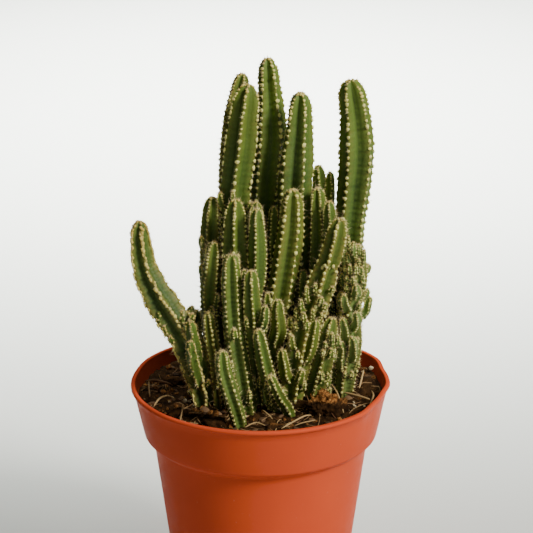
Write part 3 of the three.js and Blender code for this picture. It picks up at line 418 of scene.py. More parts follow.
# Clods: place, three radii, turn and share of moss
CLODS = [
    (20.0, -18.4, 75.0, 5.8, 4.4, 4.4, 0.2, 1.0),
    (24.6, -16.8, 73.8, 3.6, 3.4, 3.4, 0.9, 0.4),
    (-14.6, -27.0, 73.2, 4.6, 3.0, 2.2, 0.3, 0.0),
    (-20.2, -19.4, 73.2, 2.0, 1.7, 1.5, 0.3, 1.0),
    (-16.2, -20.4, 73.2, 1.9, 1.5, 1.7, 0.9, 1.0),
    (4.9, -28.4, 72.9, 4.6, 2.0, 1.6, 0.35, 0.55),
    (-27.5, -19.5, 73.0, 3.8, 3.0, 1.9, 0.9, 0.0),
    (-30.0, 9.0, 73.0, 4.2, 3.0, 2.2, -0.5, 0.1),
    (32.0, 9.0, 73.0, 3.4, 2.6, 2.1, 0.6, 0.0),
    (24.0, 25.5, 73.0, 3.2, 2.4, 2.0, 0.8, 0.0),
]

# Grain of the clods: strength, size of its lumps and seed
CLOD_GRAIN = [(0.12, 2.9, 0), (0.14, 1.3, 5), (0.12, 0.55, 9)]

# Roots that stand out: points, radius and shade from brown to tan
FIBRES = [
    ([[-34.4, -14.6, 74.2], [-32.7, -10.6, 75.2], [-30.0, -8.7, 75.4], [-27.6, -9.2, 74.4]], 0.34, 1.0),
    ([[-36.6, 1.4, 76.4], [-36.4, -2.4, 75.0], [-36.0, -6.2, 74.0]], 0.3, 0.5),
    ([[-25.0, -16.2, 75.6], [-25.2, -20.4, 74.8], [-25.6, -24.8, 73.6]], 0.3, 0.6),
    ([[-28.0, -13.6, 74.6], [-26.4, -14.8, 75.4], [-24.6, -16.6, 75.4]], 0.26, 0.6),
    ([[-23.0, -20.6, 74.4], [-21.0, -21.4, 74.8], [-18.6, -20.9, 74.4]], 0.26, 0.8),
    ([[-38.2, 5.4, 74.6], [-34.8, 5.1, 75.2], [-29.4, 3.2, 74.6]], 0.5, 0.12),
    ([[6.6, -32.4, 74.0], [11.6, -27.6, 75.0], [14.4, -24.8, 75.2], [16.2, -23.2, 74.6]], 0.3, 0.9),
    ([[-5.0, -30.6, 73.6], [-1.6, -29.0, 74.6], [1.4, -30.4, 74.2]], 0.26, 0.8),
    ([[0.6, -20.8, 75.6], [2.2, -23.2, 75.2], [3.8, -25.6, 74.4]], 0.2, 1.0),
    ([[22.9, -7.4, 79.0], [24.9, -12.7, 77.6], [26.6, -20.6, 74.4]], 0.3, 0.85),
    ([[27.0, -4.4, 74.8], [31.0, -7.2, 74.9], [35.4, -10.4, 74.8]], 0.42, 0.75),
    ([[35.2, -13.4, 74.0], [36.6, -9.0, 75.4], [36.2, -5.0, 75.6]], 0.3, 0.6),
    ([[34.2, 10.6, 76.6], [33.4, 6.0, 75.6], [32.4, 0.6, 74.2]], 0.34, 0.85),
    ([[10.6, -30.4, 74.0], [13.4, -29.6, 74.8], [17.6, -27.0, 74.6]], 0.22, 0.7),
]

# Grains that stand out: place and size
GRAINS = [
    (36.6, 14.8, 75.6, 1.15),
    (34.0, 13.4, 74.6, 0.85),
    (-24.4, -9.9, 74.2, 1.0),
    (30.2, -14.9, 74.4, 0.9),
]

# Tufts along a rib: how close they stand, where they start and how they lean
TUFT_SPACING_SHARE = 0.47
TUFT_SPACING_RANGE = (1.6, 2.35)
ARM_TUFT_SPACING = 1.3
TUFT_START_Z = 74.0
BURIED = 1.6
FIRST_SEAT = 0.16
SEAT_STAGGER = 0.14
SEAT_STRAY = 0.13
TIP_CLOSENESS = 0.42
TIP_CLOSENESS_REACH = 3.0
TIP_LEAN = 1.6
TIP_LEAN_REACH = 1.2
LEAN = 0.12
FAR = 99.0
ARM_START_SHARE = 0.8
START_PARTS = 200

# Ribs: columns of corners as shares of the way from an edge to the valley, and relief
RIB_COLUMNS = (0.0, 0.16, 0.55, 1.0)
ARM_COLUMNS = (0.0, 0.35, 1.0)
EDGE_ROUNDING = 0.13
FLANK_POWER = 1.45
LOOK_VALLEY_SHARE = 0.45
STRAY = 0.16
PAD_SUNK = 0.14
SEAT_HEIGHT = 0.26
NOTCH_DEPTH = 0.28
FULL_RELIEF_RADIUS = 4
SEAT_REACH = 0.3
SEAT_FADE = 0.55
RELIEF_FADE = 0.6
RIPPLE = 0.3
RIPPLE_FADE = 4
RINGS_PER_TUFT = 2.6
ARM_RINGS_PER_TUFT = 2.2
TIP_RINGS = 8
ARM_TIP_RINGS = 5
HIDDEN_RING_STEP = 1.8
LIFT_SHARE = 0.3
CREST_SHARE = 0.24
THINNEST = 0.08
RIB_WANDER = 2.5
RIB_WANDER_RUN = 19
STEM_PHASE = 2.1
RIB_PHASE = 1.7
WOBBLE = 0.022
WOBBLE_RATE = 0.21
RAGGED_WOBBLE = 0.05
RAGGED_RATES = (1.3, 0.57)
FLANK_WAVE = 0.01
FLANK_WAVE_RATES = (2, 0.4)
FOOT_DROP = 0.3

# Where the skin is young, near a tip, and old, near the mix
YOUNG_SHARE = 2.2
OLD_Z = 100
OLD_RUN = 34
TIP_TONE = 0.16
TONE_FALL = 0.4
TONE_FALL_START = 6
TONE_FALL_RUN = 26
BLOOM_SIZE = 9

# Sides from which a tuft between the stems may be seen
VIEW_SIDES = 12
VIEW_RISE = math.radians(20)
VIEW_GAP_SHARE = 0.8
VIEW_LIFT = 0.3
OWN_SKIN = 0.6


def smooth(t):
    """Smooth step from 0 to 1."""
    c = np.clip(t, 0.0, 1.0)
    return c * c * (3.0 - 2.0 * c)


def between(low, high, share):
    """Value at a share of the way from low to high."""
    return low + (high - low) * share


def normalised(vectors):
    """Unit vectors."""
    return vectors / np.linalg.norm(vectors, axis=-1, keepdims=True)


def square_to(vectors, axes):
    """Unit vectors square to some axes, as near to the given vectors as can be."""
    return normalised(vectors - np.sum(vectors * axes, axis=1, keepdims=True) * axes)


def around(u, v, angle):
    """Directions at angles on the way from one axis to another."""
    return u * np.cos(angle)[:, None] + v * np.sin(angle)[:, None]


def circle(sides):
    """Even angles around a circle."""
    return 2 * np.pi * np.arange(sides) / sides


def level_ring(angle, radius, z):
    """Points of a level ring."""
    return np.stack([radius * np.cos(angle), radius * np.sin(angle), np.full(len(angle), z)], 1)


def along(points, share):
    """Places at shares of the way along the smooth curve through some points."""
    last = len(points) - 1
    at = np.clip(np.asarray(share, float) * last, 0.0, last - 1e-9)
    i = np.floor(at).astype(int)
    t = (at - i)[:, None]
    p0 = points[np.maximum(i - 1, 0)]
    p1 = points[i]
    p2 = points[i + 1]
    p3 = points[np.minimum(i + 2, last)]
    curve = 2 * p1 + (p2 - p0) * t
    curve += (2 * p0 - 5 * p1 + 4 * p2 - p3) * t**2
    curve += (3 * p1 - p0 - 3 * p2 + p3) * t**3
    return 0.5 * curve


def run_of(points):
    """Distance run along some points, at each of them."""
    steps = np.linalg.norm(np.diff(points, axis=0), axis=1)
    return np.concatenate([[0.0], np.cumsum(steps)])


def resample(points, step):
    """Even samples along the smooth curve through some points."""
    points = np.array(points, float)
    parts = (len(points) - 1) * FINE_PARTS
    fine = along(points, np.arange(parts + 1) / parts)
    run = run_of(fine)
    count = max(2, int(math.floor(run[-1] / step + 0.5)))
    want = run[-1] * np.arange(count + 1) / count
    j = np.clip(np.searchsorted(run[1:], want), 0, len(fine) - 2)
    f = np.clip((want - run[j]) / np.maximum(1e-9, run[j + 1] - run[j]), 0.0, 1.0)
    return fine[j] + (fine[j + 1] - fine[j]) * f[:, None]


def girth(row, from_tip, from_foot):
    """Radius of a stem at distances from its tip and from its foot."""
    s = from_tip * row.get("blunt", 1)
    cap = 1 - np.minimum(s / (TIP_LENGTH * row["r"]), 1)
    out = row["r"] * np.sqrt(np.maximum(1 - cap * cap, 0))
    taper = row.get("reach", TAPER_LENGTH) * row["r"]
    out = out * between(row.get("peak", TAPER_SHARE), 1, smooth(s / taper))
    if row["arm"]:
        neck = (from_foot - row["inside"]) / (NECK_RUN * row["r"] + 1)
        out = out * between(NECK_SHARE, 1, smooth(neck))
    else:
        low, high = FOOT_RUN
        foot = row.get("foot", FOOT_SHARE)
        out = out * between(foot, 1, smooth((from_foot - low) / (high - low)))
    if "lower" in row:
        share, low, high = row["lower"]
        out = out * between(1, share, smooth((from_tip - low) / (high - low)))
    if "joint" in row:
        d = (from_tip - row["joint"]) / JOINT_REACH
        out = out * (1 - JOINT_DEPTH / (1 + d * d))
    return out


def make_chain(row, stem, parent, link, line, step):
    """A stem, arm or pup as samples along its middle line, with its radius at each."""
    points = resample(line, step)
    run = run_of(points)
    bulk = girth(row, run[-1] - run, run)
    return {"row": row, "stem": stem, "parent": parent, "link": link, "pts": points, "bulk": bulk}


def make_chains():
    """Every stem and arm as a chain of samples."""
    chains = []
    for stem in STEMS:
        home = len(chains)
        main = make_chain(dict(stem, arm=False), stem, -1, 0, stem["line"], SAMPLE_STEP)
        chains.append(main)
        for arm in stem["arms"]:
            link = int(math.floor(arm["at"] * (len(main["pts"]) - 1) + 0.5))
            row = dict(arm, arm=True, inside=INSIDE_SHARE * stem["r"])
            line = [list(main["pts"][link])] + arm["line"]
            chains.append(make_chain(row, stem, home, link, line, ARM_SAMPLE_STEP))
    return chains


def close_pairs(chains):
    """Pairs of samples of different stems that could come too close."""
    sizes = [len(c["pts"]) for c in chains]
    owner = np.repeat(np.arange(len(chains)), sizes)
    index = np.concatenate([np.arange(n) for n in sizes])
    parent = np.array([c["parent"] for c in chains])
    home = np.where(parent < 0, np.arange(len(chains)), parent)
    hold = np.array([c["stem"]["hold"] for c in chains], float)
    bulk = np.concatenate([c["bulk"] for c in chains])
    pts = np.concatenate([c["pts"] for c in chains])
    a, b = np.triu_indices(len(owner), 1)
    near = np.abs(pts[a] - pts[b]).max(axis=1) < FARTHEST_PAIR
    a, b = a[near], b[near]
    same = home[owner[a]] == home[owner[b]]
    need = NEST * (bulk[a] + bulk[b]) + np.where(same, -ARM_OVERLAP, CLEARANCE)
    use = (owner[a] != owner[b]) & (parent[owner[b]] != owner[a])
    use &= ~(same & (np.minimum(index[a], index[b]) < 2))
    use &= np.abs(pts[a, 2] - pts[b, 2]) <= need
    a, b, need = a[use], b[use], need[use]
    share = hold[owner[b]] / (hold[owner[a]] + hold[owner[b]])
    return a, b, need, share


def spread(push):
    """Pushes spread along a chain so that it stays smooth."""
    for _ in range(SPREAD_ROUNDS):
        left = np.vstack([push[:1], push[:-1]])
        right = np.vstack([push[1:], push[-1:]])
        push = 0.5 * push + 0.25 * (left + right)
    return push


def ease(chains):
    """Ease the crowded cluster apart in a fixed number of rounds that push too-close stems away from
    each other.
    """
    a, b, need, share = close_pairs(chains)
    ends = np.cumsum([len(c["pts"]) for c in chains])
    starts = ends - [len(c["pts"]) for c in chains]
    for _ in range(EASING_ROUNDS):
        pts = np.concatenate([c["pts"] for c in chains])
        d = pts[a] - pts[b]
        gap = np.linalg.norm(d, axis=1)
        k = np.where(gap < need, EASING * (need - gap) / (np.hypot(d[:, 0], d[:, 1]) + 0.05), 0)
        push = np.zeros((len(pts), 2))
        for axis in (0, 1):
            step = d[:, axis] * k
            push[:, axis] = np.bincount(a, step * share, len(pts))
            push[:, axis] -= np.bincount(b, step * (1 - share), len(pts))
        for chain, start, end in zip(chains, starts, ends):
            move_chain(chain, spread(push[start:end]))
        for chain in chains:
            if chain["parent"] >= 0:
                root = chains[chain["parent"]]["pts"][chain["link"]]
                fade = ROOT_PULL / (np.arange(len(chain["pts"])) + 1)
                fade[0] = 1
                chain["pts"] = chain["pts"] + (root - chain["pts"][0]) * fade[:, None]


def bud_line(root, surface, angle, radius, length):
    """Middle line of a small pup that leaves a stem's side and turns upward."""
    out = np.array([math.cos(angle), math.sin(angle), 0.0])
    knee = root + out * (surface + BUD_KNEE_SHARE * radius) + UP * BUD_KNEE_RISE
    tip = root + out * (surface + BUD_TIP_SHARE * radius) + UP * (BUD_KNEE_RISE + length)
    return [root, knee, tip]


def add_buds(chains):
    """Grow the small pups from their stems, clear of every other stem."""
    stream = np.random.default_rng(BUD_SEED)
    for home, chain in list(enumerate(chains)):
        if chain["parent"] >= 0 or "buds" not in chain["stem"]:
            continue
        count, low, high, *turns = chain["stem"]["buds"]
        for _ in range(count * BUD_TRIES):
            if count == 0:
                break
            at = int(between(low, high, stream.uniform()) * (len(chain["pts"]) - 1))
            centre = chain["pts"][at]
            facing = math.atan2(centre[1], centre[0]) if centre[1] > BACK_Y else -math.pi / 2
            angle = facing + stream.uniform(*(turns or BUD_TURNS))
            radius = stream.uniform(*BUD_RADII) * chain["stem"].get("bud_share", 1)
            surface = BUD_ROOT_SHARE * float(chain["bulk"][at])
            line = bud_line(centre, surface, angle, radius, stream.uniform(*BUD_LENGTHS))
            row = {"arm": True, "inside": INSIDE_SHARE * surface, "r": radius}
            bud = make_chain(row, chain["stem"], home, at, line, BUD_SAMPLE_STEP)
            if is_free(bud["pts"][2:], BUD_ROOT_SHARE * radius, home, chains):
                count -= 1
                row["turn"] = 90 * stream.uniform()
                chains.append(bud)


def is_free(points, radius, home, chains):
    """Whether some points stay clear of every chain but the one they grow from."""
    if np.hypot(points[:, 0], points[:, 1]).max() > RIM_RADIUS - CLEARANCE - radius:
        return False
    for other, chain in enumerate(chains):
        if other != home:
            gaps = np.linalg.norm(points[:, None] - chain["pts"][None], axis=2)
            if (gaps < chain["bulk"][None] + radius).any():
                return False
    return True


def move_chain(chain, push):
    """Move a chain by its pushes and keep it inside the pot and the rim's width."""
    pts = chain["pts"]
    pull = np.ones(len(pts))
    if chain["parent"] >= 0:
        pull = np.minimum(1, np.arange(len(pts)) / FIXED_SAMPLES)
    pts[:, :2] += push * pull[:, None]
    in_pot = pts[:, 2] < POT_HEIGHT + LIP_ROOM_ABOVE
    limit = np.where(in_pot, LIP_INNER_RADIUS - LIP_ROOM, RIM_RADIUS - EDGE_ROOM) - chain["bulk"]
    out = np.hypot(pts[:, 0], pts[:, 1])
    far = out > limit
    pts[far, :2] *= (limit[far] / out[far])[:, None]


def middle_line(points):
    """Middle line with its run, tangents and axes carried along it."""
    order = np.arange(len(points))
    ahead = points[np.minimum(order + 1, order[-1])]
    behind = points[np.maximum(order - 1, 0)]
    tangents = normalised(ahead - behind)
    side = np.array([1.0, 0.0, 0.0] if abs(tangents[0][1]) > 0.85 else [0.0, -1.0, 0.0])
    axes = []
    for t in tangents:
        side = normalised(side - np.dot(side, t) * t)
        axes.append(side)
    run = run_of(points)
    return {"points": points, "run": run, "tangents": tangents, "axes": np.array(axes), "total": run[-1]}


def place_on(line, distance):
    """Centres and axes on a middle line at distances from its foot."""
    run = line["run"]
    want = np.clip(distance, 0, line["total"])
    i = np.clip(np.searchsorted(run[1:], want), 0, len(run) - 2)
    f = (want - run[i]) / (run[i + 1] - run[i])
    centre = along(line["points"], (i + f) / (len(run) - 1))
    t = normalised(between(line["tangents"][i], line["tangents"][i + 1], f[:, None]))
    u = square_to(between(line["axes"][i], line["axes"][i + 1], f[:, None]), t)
    return centre, t, u, np.cross(t, u)


# Meshes


def make_object(name, material, vertices, faces, colours=None, smooth_faces=True):
    """Mesh object from corners in millimetres and faces of one size."""
    mesh = bpy.data.meshes.new(name)
    faces = np.asarray(faces, np.int32)
    count, size = faces.shape
    mesh.vertices.add(len(vertices))
    mesh.vertices.foreach_set("co", (np.asarray(vertices) * MM).astype(np.float32).ravel())
    mesh.loops.add(count * size)
    mesh.loops.foreach_set("vertex_index", faces.ravel())
    mesh.polygons.add(count)
    mesh.polygons.foreach_set("loop_start", np.arange(0, count * size, size, dtype=np.int32))
    mesh.update(calc_edges=True)
    mesh.polygons.foreach_set("use_smooth", np.full(count, smooth_faces))
    for label, values in (colours or {}).items():
        layer = mesh.color_attributes.new(name=label, type="FLOAT_COLOR", domain="POINT")
        layer.data.foreach_set("color", values.astype(np.float32).ravel())
    mesh.materials.append(material)
    mesh.validate()
    piece = bpy.data.objects.new(name, mesh)
    bpy.context.collection.objects.link(piece)
    return piece


def joined(parts):
    """One set of corners, faces and colours from several."""
    vertices = []
    faces = []
    colours = {}
    start = 0
    for part_vertices, part_faces, part_colours in parts:
        vertices.append(part_vertices)
        faces.append(np.asarray(part_faces) + start)
        start += len(part_vertices)
        for label, values in part_colours.items():
            colours.setdefault(label, []).append(values)
    merged = {label: np.concatenate(values) for label, values in colours.items()}
    return np.concatenate(vertices), np.concatenate(faces), merged


def grid_faces(rows, columns):
    """Triangles between the rings of a tube."""
    i, j = np.meshgrid(np.arange(rows - 1), np.arange(columns), indexing="ij")
    i, j = i.ravel(), j.ravel()
    k = (j + 1) % columns
    a, b = i * columns + j, i * columns + k
    c, d = (i + 1) * columns + k, (i + 1) * columns + j
    return np.concatenate([np.stack([a, b, c], 1), np.stack([a, c, d], 1)])


def fan_faces(centre, ring):
    """Triangles that close a ring of corners onto one corner above it."""
    return np.stack([np.full(len(ring), centre), ring, np.roll(ring, -1)], 1)


def tube_faces(rows, columns):
    """Triangles of a closed tube of rings, whose two end corners come last."""
    ring = np.arange(columns)
    ends = rows * columns
    return np.concatenate([
        grid_faces(rows, columns),
        fan_faces(ends, ring)[:, [0, 2, 1]],
        fan_faces(ends + 1, (rows - 1) * columns + ring),
    ])


def ball(levels):
    """Corners and triangles of a ball of radius 1, split from twelve corners."""
    g = (1 + math.sqrt(5)) / 2
    pairs = [(s, t * g) for s in (-1, 1) for t in (-1, 1)]
    corners = [(s, t, 0) for s, t in pairs]
    corners += [(0, s, t) for s, t in pairs]
    corners += [(t, 0, s) for s, t in pairs]
    points = [np.array(c, float) / math.hypot(1, g) for c in corners]
    edge = 2 / math.hypot(1, g) + 1e-6
    near = [[0 < np.linalg.norm(p - q) < edge for q in points] for p in points]
    faces = []
    for i, j, k in combinations(range(12), 3):
        if near[i][j] and near[j][k] and near[i][k]:
            out = np.dot(np.cross(points[j] - points[i], points[k] - points[i]), points[i]) > 0
            faces.append((i, j, k) if out else (i, k, j))
    for _ in range(levels):
        middles = {}
        split = []
        for face in faces:
            mids = []
            for p, q in zip(face, face[1:] + face[:1]):
                key = (min(p, q), max(p, q))
                if key not in middles:
                    middles[key] = len(points)
                    points.append(normalised(points[p] + points[q]))
                mids.append(middles[key])
            a, b, c = face
            ab, bc, ca = mids
            split += [(a, ab, ca), (ab, b, bc), (ca, bc, c), (ab, bc, ca)]
        faces = split
    return np.array(points), np.array(faces)


def lump():
    """Corners and triangles of a lump of radius 1 with eight sides."""
    points = np.vstack([np.eye(3), -np.eye(3)])
    faces = []
    for i, j, k in np.ndindex(2, 2, 2):
        face = (3 * i, 3 * j + 1, 3 * k + 2)
        faces.append(face[::-1] if (i + j + k) % 2 else face)
    return points, np.array(faces)


def copies(template, faces, places, axes, sizes):
    """Copies of a small mesh, each at its place, on its axes and at its size."""
    scaled = template[None, :, :] * sizes[:, None, :]
    vertices = np.einsum("nki,nij->nkj", scaled, axes) + places[:, None, :]
    count = len(template)
    shift = (np.arange(len(places)) * count)[:, None, None]
    return vertices.reshape(-1, 3), (faces[None] + shift).reshape(-1, faces.shape[1])


def noise(points, size, seed):
    """Smooth random value from -1 to 1 at each place, for lumps of one size."""
    p = np.asarray(points, float) / size + seed * 17.31
    cell = np.floor(p)
    f = smooth(p - cell)
    total = np.zeros(len(p))
    for corner in np.ndindex(2, 2, 2):
        c = cell + corner
        value = np.sin(c[:, 0] * 127.1 + c[:, 1] * 311.7 + c[:, 2] * 74.7 + seed) * 43758.5453
        value = 2 * (value - np.floor(value)) - 1
        weight = np.prod(np.where(np.array(corner) == 1, f, 1 - f), axis=1)
        total += value * weight
    return total


# Stems


def tuft_spacing(chain):
    """Distance between the tufts of a stem, away from its tip."""
    row = chain["row"]
    usual = TUFT_SPACING_SHARE * row["r"]
    if row["arm"]:
        return max(usual, ARM_TUFT_SPACING)
    return row.get("tufts", float(np.clip(usual, *TUFT_SPACING_RANGE)))


def tuft_seats(chain, line, spacing, rib):
    """Distances from the foot of the tufts on one rib, closer together at the tip."""
    radius = chain["row"]["r"]
    seats = []
    from_tip = (FIRST_SEAT + SEAT_STAGGER * (rib % 2)) * radius
    while line["total"] - from_tip > line["start"]:
        seats.append(line["total"] - from_tip + spacing * rng.uniform(-SEAT_STRAY, SEAT_STRAY))
        share = float(smooth(from_tip / (TIP_CLOSENESS_REACH * radius)))
        from_tip += spacing * between(TIP_CLOSENESS, 1.0, share)
    return np.array(seats[::-1])


def visible_start(row, line):
    """Distance from the foot where a stem leaves the mix or its parent."""
    if row["arm"]:
        return row["inside"] + ARM_START_SHARE * row["r"]
    fine = np.linspace(0, line["total"], START_PARTS)
    return fine[np.argmax(place_on(line, fine)[0][:, 2] > TUFT_START_Z)]


def ring_distances(row, line, spacing):
    """Distances from the foot of the rings of corners, close together near the tip."""
    cap = TIP_LENGTH * row["r"] / row.get("blunt", 1)
    count = ARM_TIP_RINGS if row["arm"] else TIP_RINGS
    from_tip = list(cap * (1 - np.cos(np.pi / 2 * np.arange(1, count + 1) / count)))
    step = spacing / (ARM_RINGS_PER_TUFT if row["arm"] else RINGS_PER_TUFT)
    hidden = 0.0 if row["arm"] else BURIED
    while line["total"] - from_tip[-1] > hidden + step:
        shown = line["total"] - from_tip[-1] > line["start"] - 2
        from_tip.append(from_tip[-1] + (step if shown else HIDDEN_RING_STEP))
    return line["total"] - np.array(from_tip[::-1])


def flank(share):
    """Radius across half a rib, from 1 at its rounded edge to the valley."""
    edge = np.sqrt(share**2 + EDGE_ROUNDING**2) - EDGE_ROUNDING
    full = math.sqrt(1 + EDGE_ROUNDING**2) - EDGE_ROUNDING
    return between(LOOK_VALLEY_SHARE, 1, (1 - np.minimum(edge / full, 1)) ** FLANK_POWER)


def nearest(values, marks):
    """Distance from each value to the closest mark."""
    if len(marks) == 0:
        return np.full(len(values), FAR)
    i = np.clip(np.searchsorted(marks, values), 1, max(1, len(marks) - 1))
    left = np.abs(values - marks[np.minimum(i - 1, len(marks) - 1)])
    right = np.abs(values - marks[np.minimum(i, len(marks) - 1)])
    return np.minimum(left, right)


def stem_line(chain):
    """Middle line of a stem, from its foot at the bottom of its hole."""
    pts = chain["pts"].copy()
    if not chain["row"]["arm"]:
        pts[0] = pts[0] + normalised(pts[0] - pts[1]) * BURIED
    line = middle_line(pts)
    line["start"] = visible_start(chain["row"], line)
    return line


def edge_radius(row, line, d, seat_gap, spacing):
    """Radius along a rib's edge, its lift by tufts and notches, and the tufts' share."""
    base = girth(row, line["total"] - d, d)
    size = min(1.0, row["r"] / FULL_RELIEF_RADIUS)
    bump = np.exp(-((seat_gap / (SEAT_REACH * spacing)) ** 2))
    fade = smooth((line["total"] - d) / (RELIEF_FADE * row["r"]))
    return base, (bump * SEAT_HEIGHT - NOTCH_DEPTH) * size * fade, bump


def rib_angle(chain, line, d, ribs, rib):
    """Angle of a rib's edge around the middle line, with its slow twist."""
    row = chain["row"]
    wander = np.radians(RIB_WANDER) * np.sin(d / RIB_WANDER_RUN + chain["number"])
    twist = np.radians(row.get("twist", 0)) * (line["total"] - d)
    return math.radians(row["turn"] + 360 / ribs * rib) + wander + twist


def is_ragged(chain):
    """Whether a stem, and not an arm of it, has uneven ribs with larger tufts."""
    return chain["row"].get("ragged", False)


def wobble(chain, d, rib):
    """Slow rise and fall of a rib along its stem, stronger where it is ragged."""
    phase = chain["number"] * STEM_PHASE + rib * RIB_PHASE
    slow = WOBBLE * np.sin(d * WOBBLE_RATE + phase)
    if is_ragged(chain):
        fast, slower = RAGGED_RATES
        slow = slow + RAGGED_WOBBLE * np.sin(d * fast + phase) * np.sin(d * slower + phase)
    return slow


def rib_columns(row, ribs):
    """Columns of corners round a stem: rib, share of the way to the valley, and side."""
    shares = ARM_COLUMNS if row["arm"] else RIB_COLUMNS
    columns = []
    for rib in range(ribs):
        columns += [(rib, share, 1) for share in shares]
        columns += [((rib + 1) % ribs, share, -1) for share in reversed(shares[1:-1])]
    return columns


def stem_skin(chain, line):
    """Closed ribbed skin of one stem or arm, with its colour shares and its seats."""
    row = chain["row"]
    ribs = SMALL_ARM_RIBS if row["arm"] and row["r"] < SMALL_RADIUS else RIBS
    spacing = tuft_spacing(chain)
    seats = [tuft_seats(chain, line, spacing, rib) for rib in range(ribs)]
    d = ring_distances(row, line, spacing)
    centre, _, u, v = place_on(line, d)
    from_tip = line["total"] - d
    young = np.exp(-from_tip / (YOUNG_SHARE * row["r"]))
    half = math.pi / ribs
    columns = rib_columns(row, ribs)
    across, up = FLANK_WAVE_RATES
    rings = []
    looks = []
    for rib, share, side in columns:
        angle = rib_angle(chain, line, d, ribs, rib) + side * share * half
        gap = nearest(d, seats[rib])
        base, lift, bump = edge_radius(row, line, d, gap, spacing)
        ripple = RIPPLE * np.cos(2 * np.pi * gap / spacing) * 4 * share * (1 - share)
        grown = 1 + wobble(chain, d, rib) + FLANK_WAVE * np.sin(share * across + d * up)
        radius = base * flank(share) * grown + lift * math.exp(-((share / LIFT_SHARE) ** 2))
        radius = np.maximum(radius + ripple * smooth(from_tip / RIPPLE_FADE), THINNEST)
        rings.append(centre + radius[:, None] * around(u, v, angle))
        crest = np.full(len(d), math.exp(-((share / CREST_SHARE) ** 2)))
        seat = bump * (1 - SEAT_FADE * share)
        # Crest, seat, youth and the share of the way to the valley, which also sets the painted valley
        # shade
        looks.append(np.stack([crest, seat, young, np.full(len(d), share)], 1))
    foot = place_on(line, d[:1] - FOOT_DROP)[0]
    tip = place_on(line, np.array([line["total"]]))[0]
    vertices = np.concatenate([np.stack(rings, 1).reshape(-1, 3), foot, tip])
    look = np.concatenate([np.stack(looks, 1).reshape(-1, 4), [[0, 0, 0, 1], [1, 1, 1, 0]]])
    down = np.concatenate([np.repeat(from_tip, len(columns)), [line["total"], 0.0]])
    grown, wear = skin_shares(chain, vertices, down)
    colours = {"look": look, "grown": grown, "wear": wear}
    return vertices, tube_faces(len(d), len(columns)), colours, seats


def skin_shares(chain, vertices, down):
    """Age, tint, bloom and paleness of a skin, and its dryness, at distances from the tip; bloom carries
    painted shade and paleness partly painted light.
    """
    stem, is_arm = chain["stem"], chain["row"]["arm"]
    age = smooth((OLD_Z - vertices[:, 2]) / OLD_RUN)
    variety = ARM_TONE_VARIETY if is_arm else TONE_VARIETY
    tint = stem.get("tone", USUAL_TONE) + variety * math.sin(chain["number"] * 2.4)
    tint = tint + TIP_TONE - TONE_FALL * smooth((down - TONE_FALL_START) / TONE_FALL_RUN)
    bloom = 0.5 + 0.5 * noise(vertices, BLOOM_SIZE, 3)
    if is_arm:
        bloom = bloom + ARM_BLOOM_VARIETY * math.sin(chain["number"] * 1.7)
    # Painted shade: some stems get a darker, less fresh skin
    bloom = bloom - stem.get("shade", 0.0)
    # Paleness: partly the skin's own grey, partly painted light on the dark, crowded stems on the right
    pale = np.full(len(vertices), stem.get("pale", 0.0))
    dry = stem.get("dry", USUAL_DRYNESS) * (ARM_DRYNESS if is_arm else 1.0)
    return np.stack([age, tint, bloom, pale], 1), np.full((len(vertices), 4), dry)


def tuft_rows(at, out, up, from_tip):
    """Tufts as rows of a place, three axes and a distance from the tip."""
    return np.hstack([at, out, up, np.cross(out, up), from_tip[:, None]])


def tuft_places(chain, line, seats):
    """Places of a stem's tufts, with outward, upward and sideways axes."""
    row = chain["row"]
    places = []
    for rib, marks in enumerate(seats):
        if len(marks) == 0:
            continue
        centre, t, u, v = place_on(line, marks)
        out = around(u, v, rib_angle(chain, line, marks, len(seats), rib))
        on_seat = np.zeros(len(marks))
        base, lift, _ = edge_radius(row, line, marks, on_seat, tuft_spacing(chain))
        grown = 1 + wobble(chain, marks, rib)
        from_tip = line["total"] - marks
        at = centre + out * (base * grown + lift - PAD_SUNK)[:, None]
        lean = between(TIP_LEAN, LEAN, smooth(from_tip / (TIP_LEAN_REACH * row["r"])))
        out = normalised(out + t * lean[:, None])
        up = square_to(t, out)
        stray = STRAY * (RAGGED_STRAY if "ragged" in chain["stem"] else 1)
        at = at + np.cross(out, up) * rng.uniform(-stray, stray, (len(marks), 1))
        places.append(tuft_rows(at, out, up, from_tip))
    if "joint" in row:
        places.append(joint_ring(row, line))
    places.append(crown(chain, line))
    return np.concatenate(places)


def joint_ring(row, line):
    """Tufts crowded around the growth joint of a stem."""
    angle = np.linspace(0, 2 * np.pi, JOINT_TUFTS, endpoint=False)
    angle = angle + rng.uniform(-JOINT_STRAY, JOINT_STRAY, JOINT_TUFTS)
    marks = line["total"] - row["joint"] + rng.uniform(*JOINT_SPREAD, JOINT_TUFTS)
    centre, t, u, v = place_on(line, marks)
    out = around(u, v, angle)
    rib = np.abs(((angle - math.radians(row["turn"])) * RIBS / (2 * np.pi) + 0.5) % 1 - 0.5) * 2
    radius = girth(row, line["total"] - marks, marks) * flank(rib)
    return tuft_rows(centre + out * radius[:, None], out, t, line["total"] - marks)


def crown(chain, line):
    """Tufts crowded on the growing tip of a stem: one in the middle of a ring."""
    radius = chain["row"]["r"]
    count = CROWN_TUFTS if radius > CROWN_RADIUS else SMALL_CROWN_TUFTS
    down = np.full(count, CROWN_DROP * radius)
    down[0] = 0.0
    centre, t, u, v = place_on(line, line["total"] - down)
    out = around(u, v, 2 * np.pi * np.arange(count) / (count - 1) + chain["number"])
    at = centre + out * np.where(down > 0, CROWN_SPREAD * radius, 0.0)[:, None]
    upright, tilted = CROWN_TILTS
    facing = normalised(out * np.where(down > 0, tilted, upright)[:, None] + t)
    return tuft_rows(at, facing, square_to(out, facing), down)


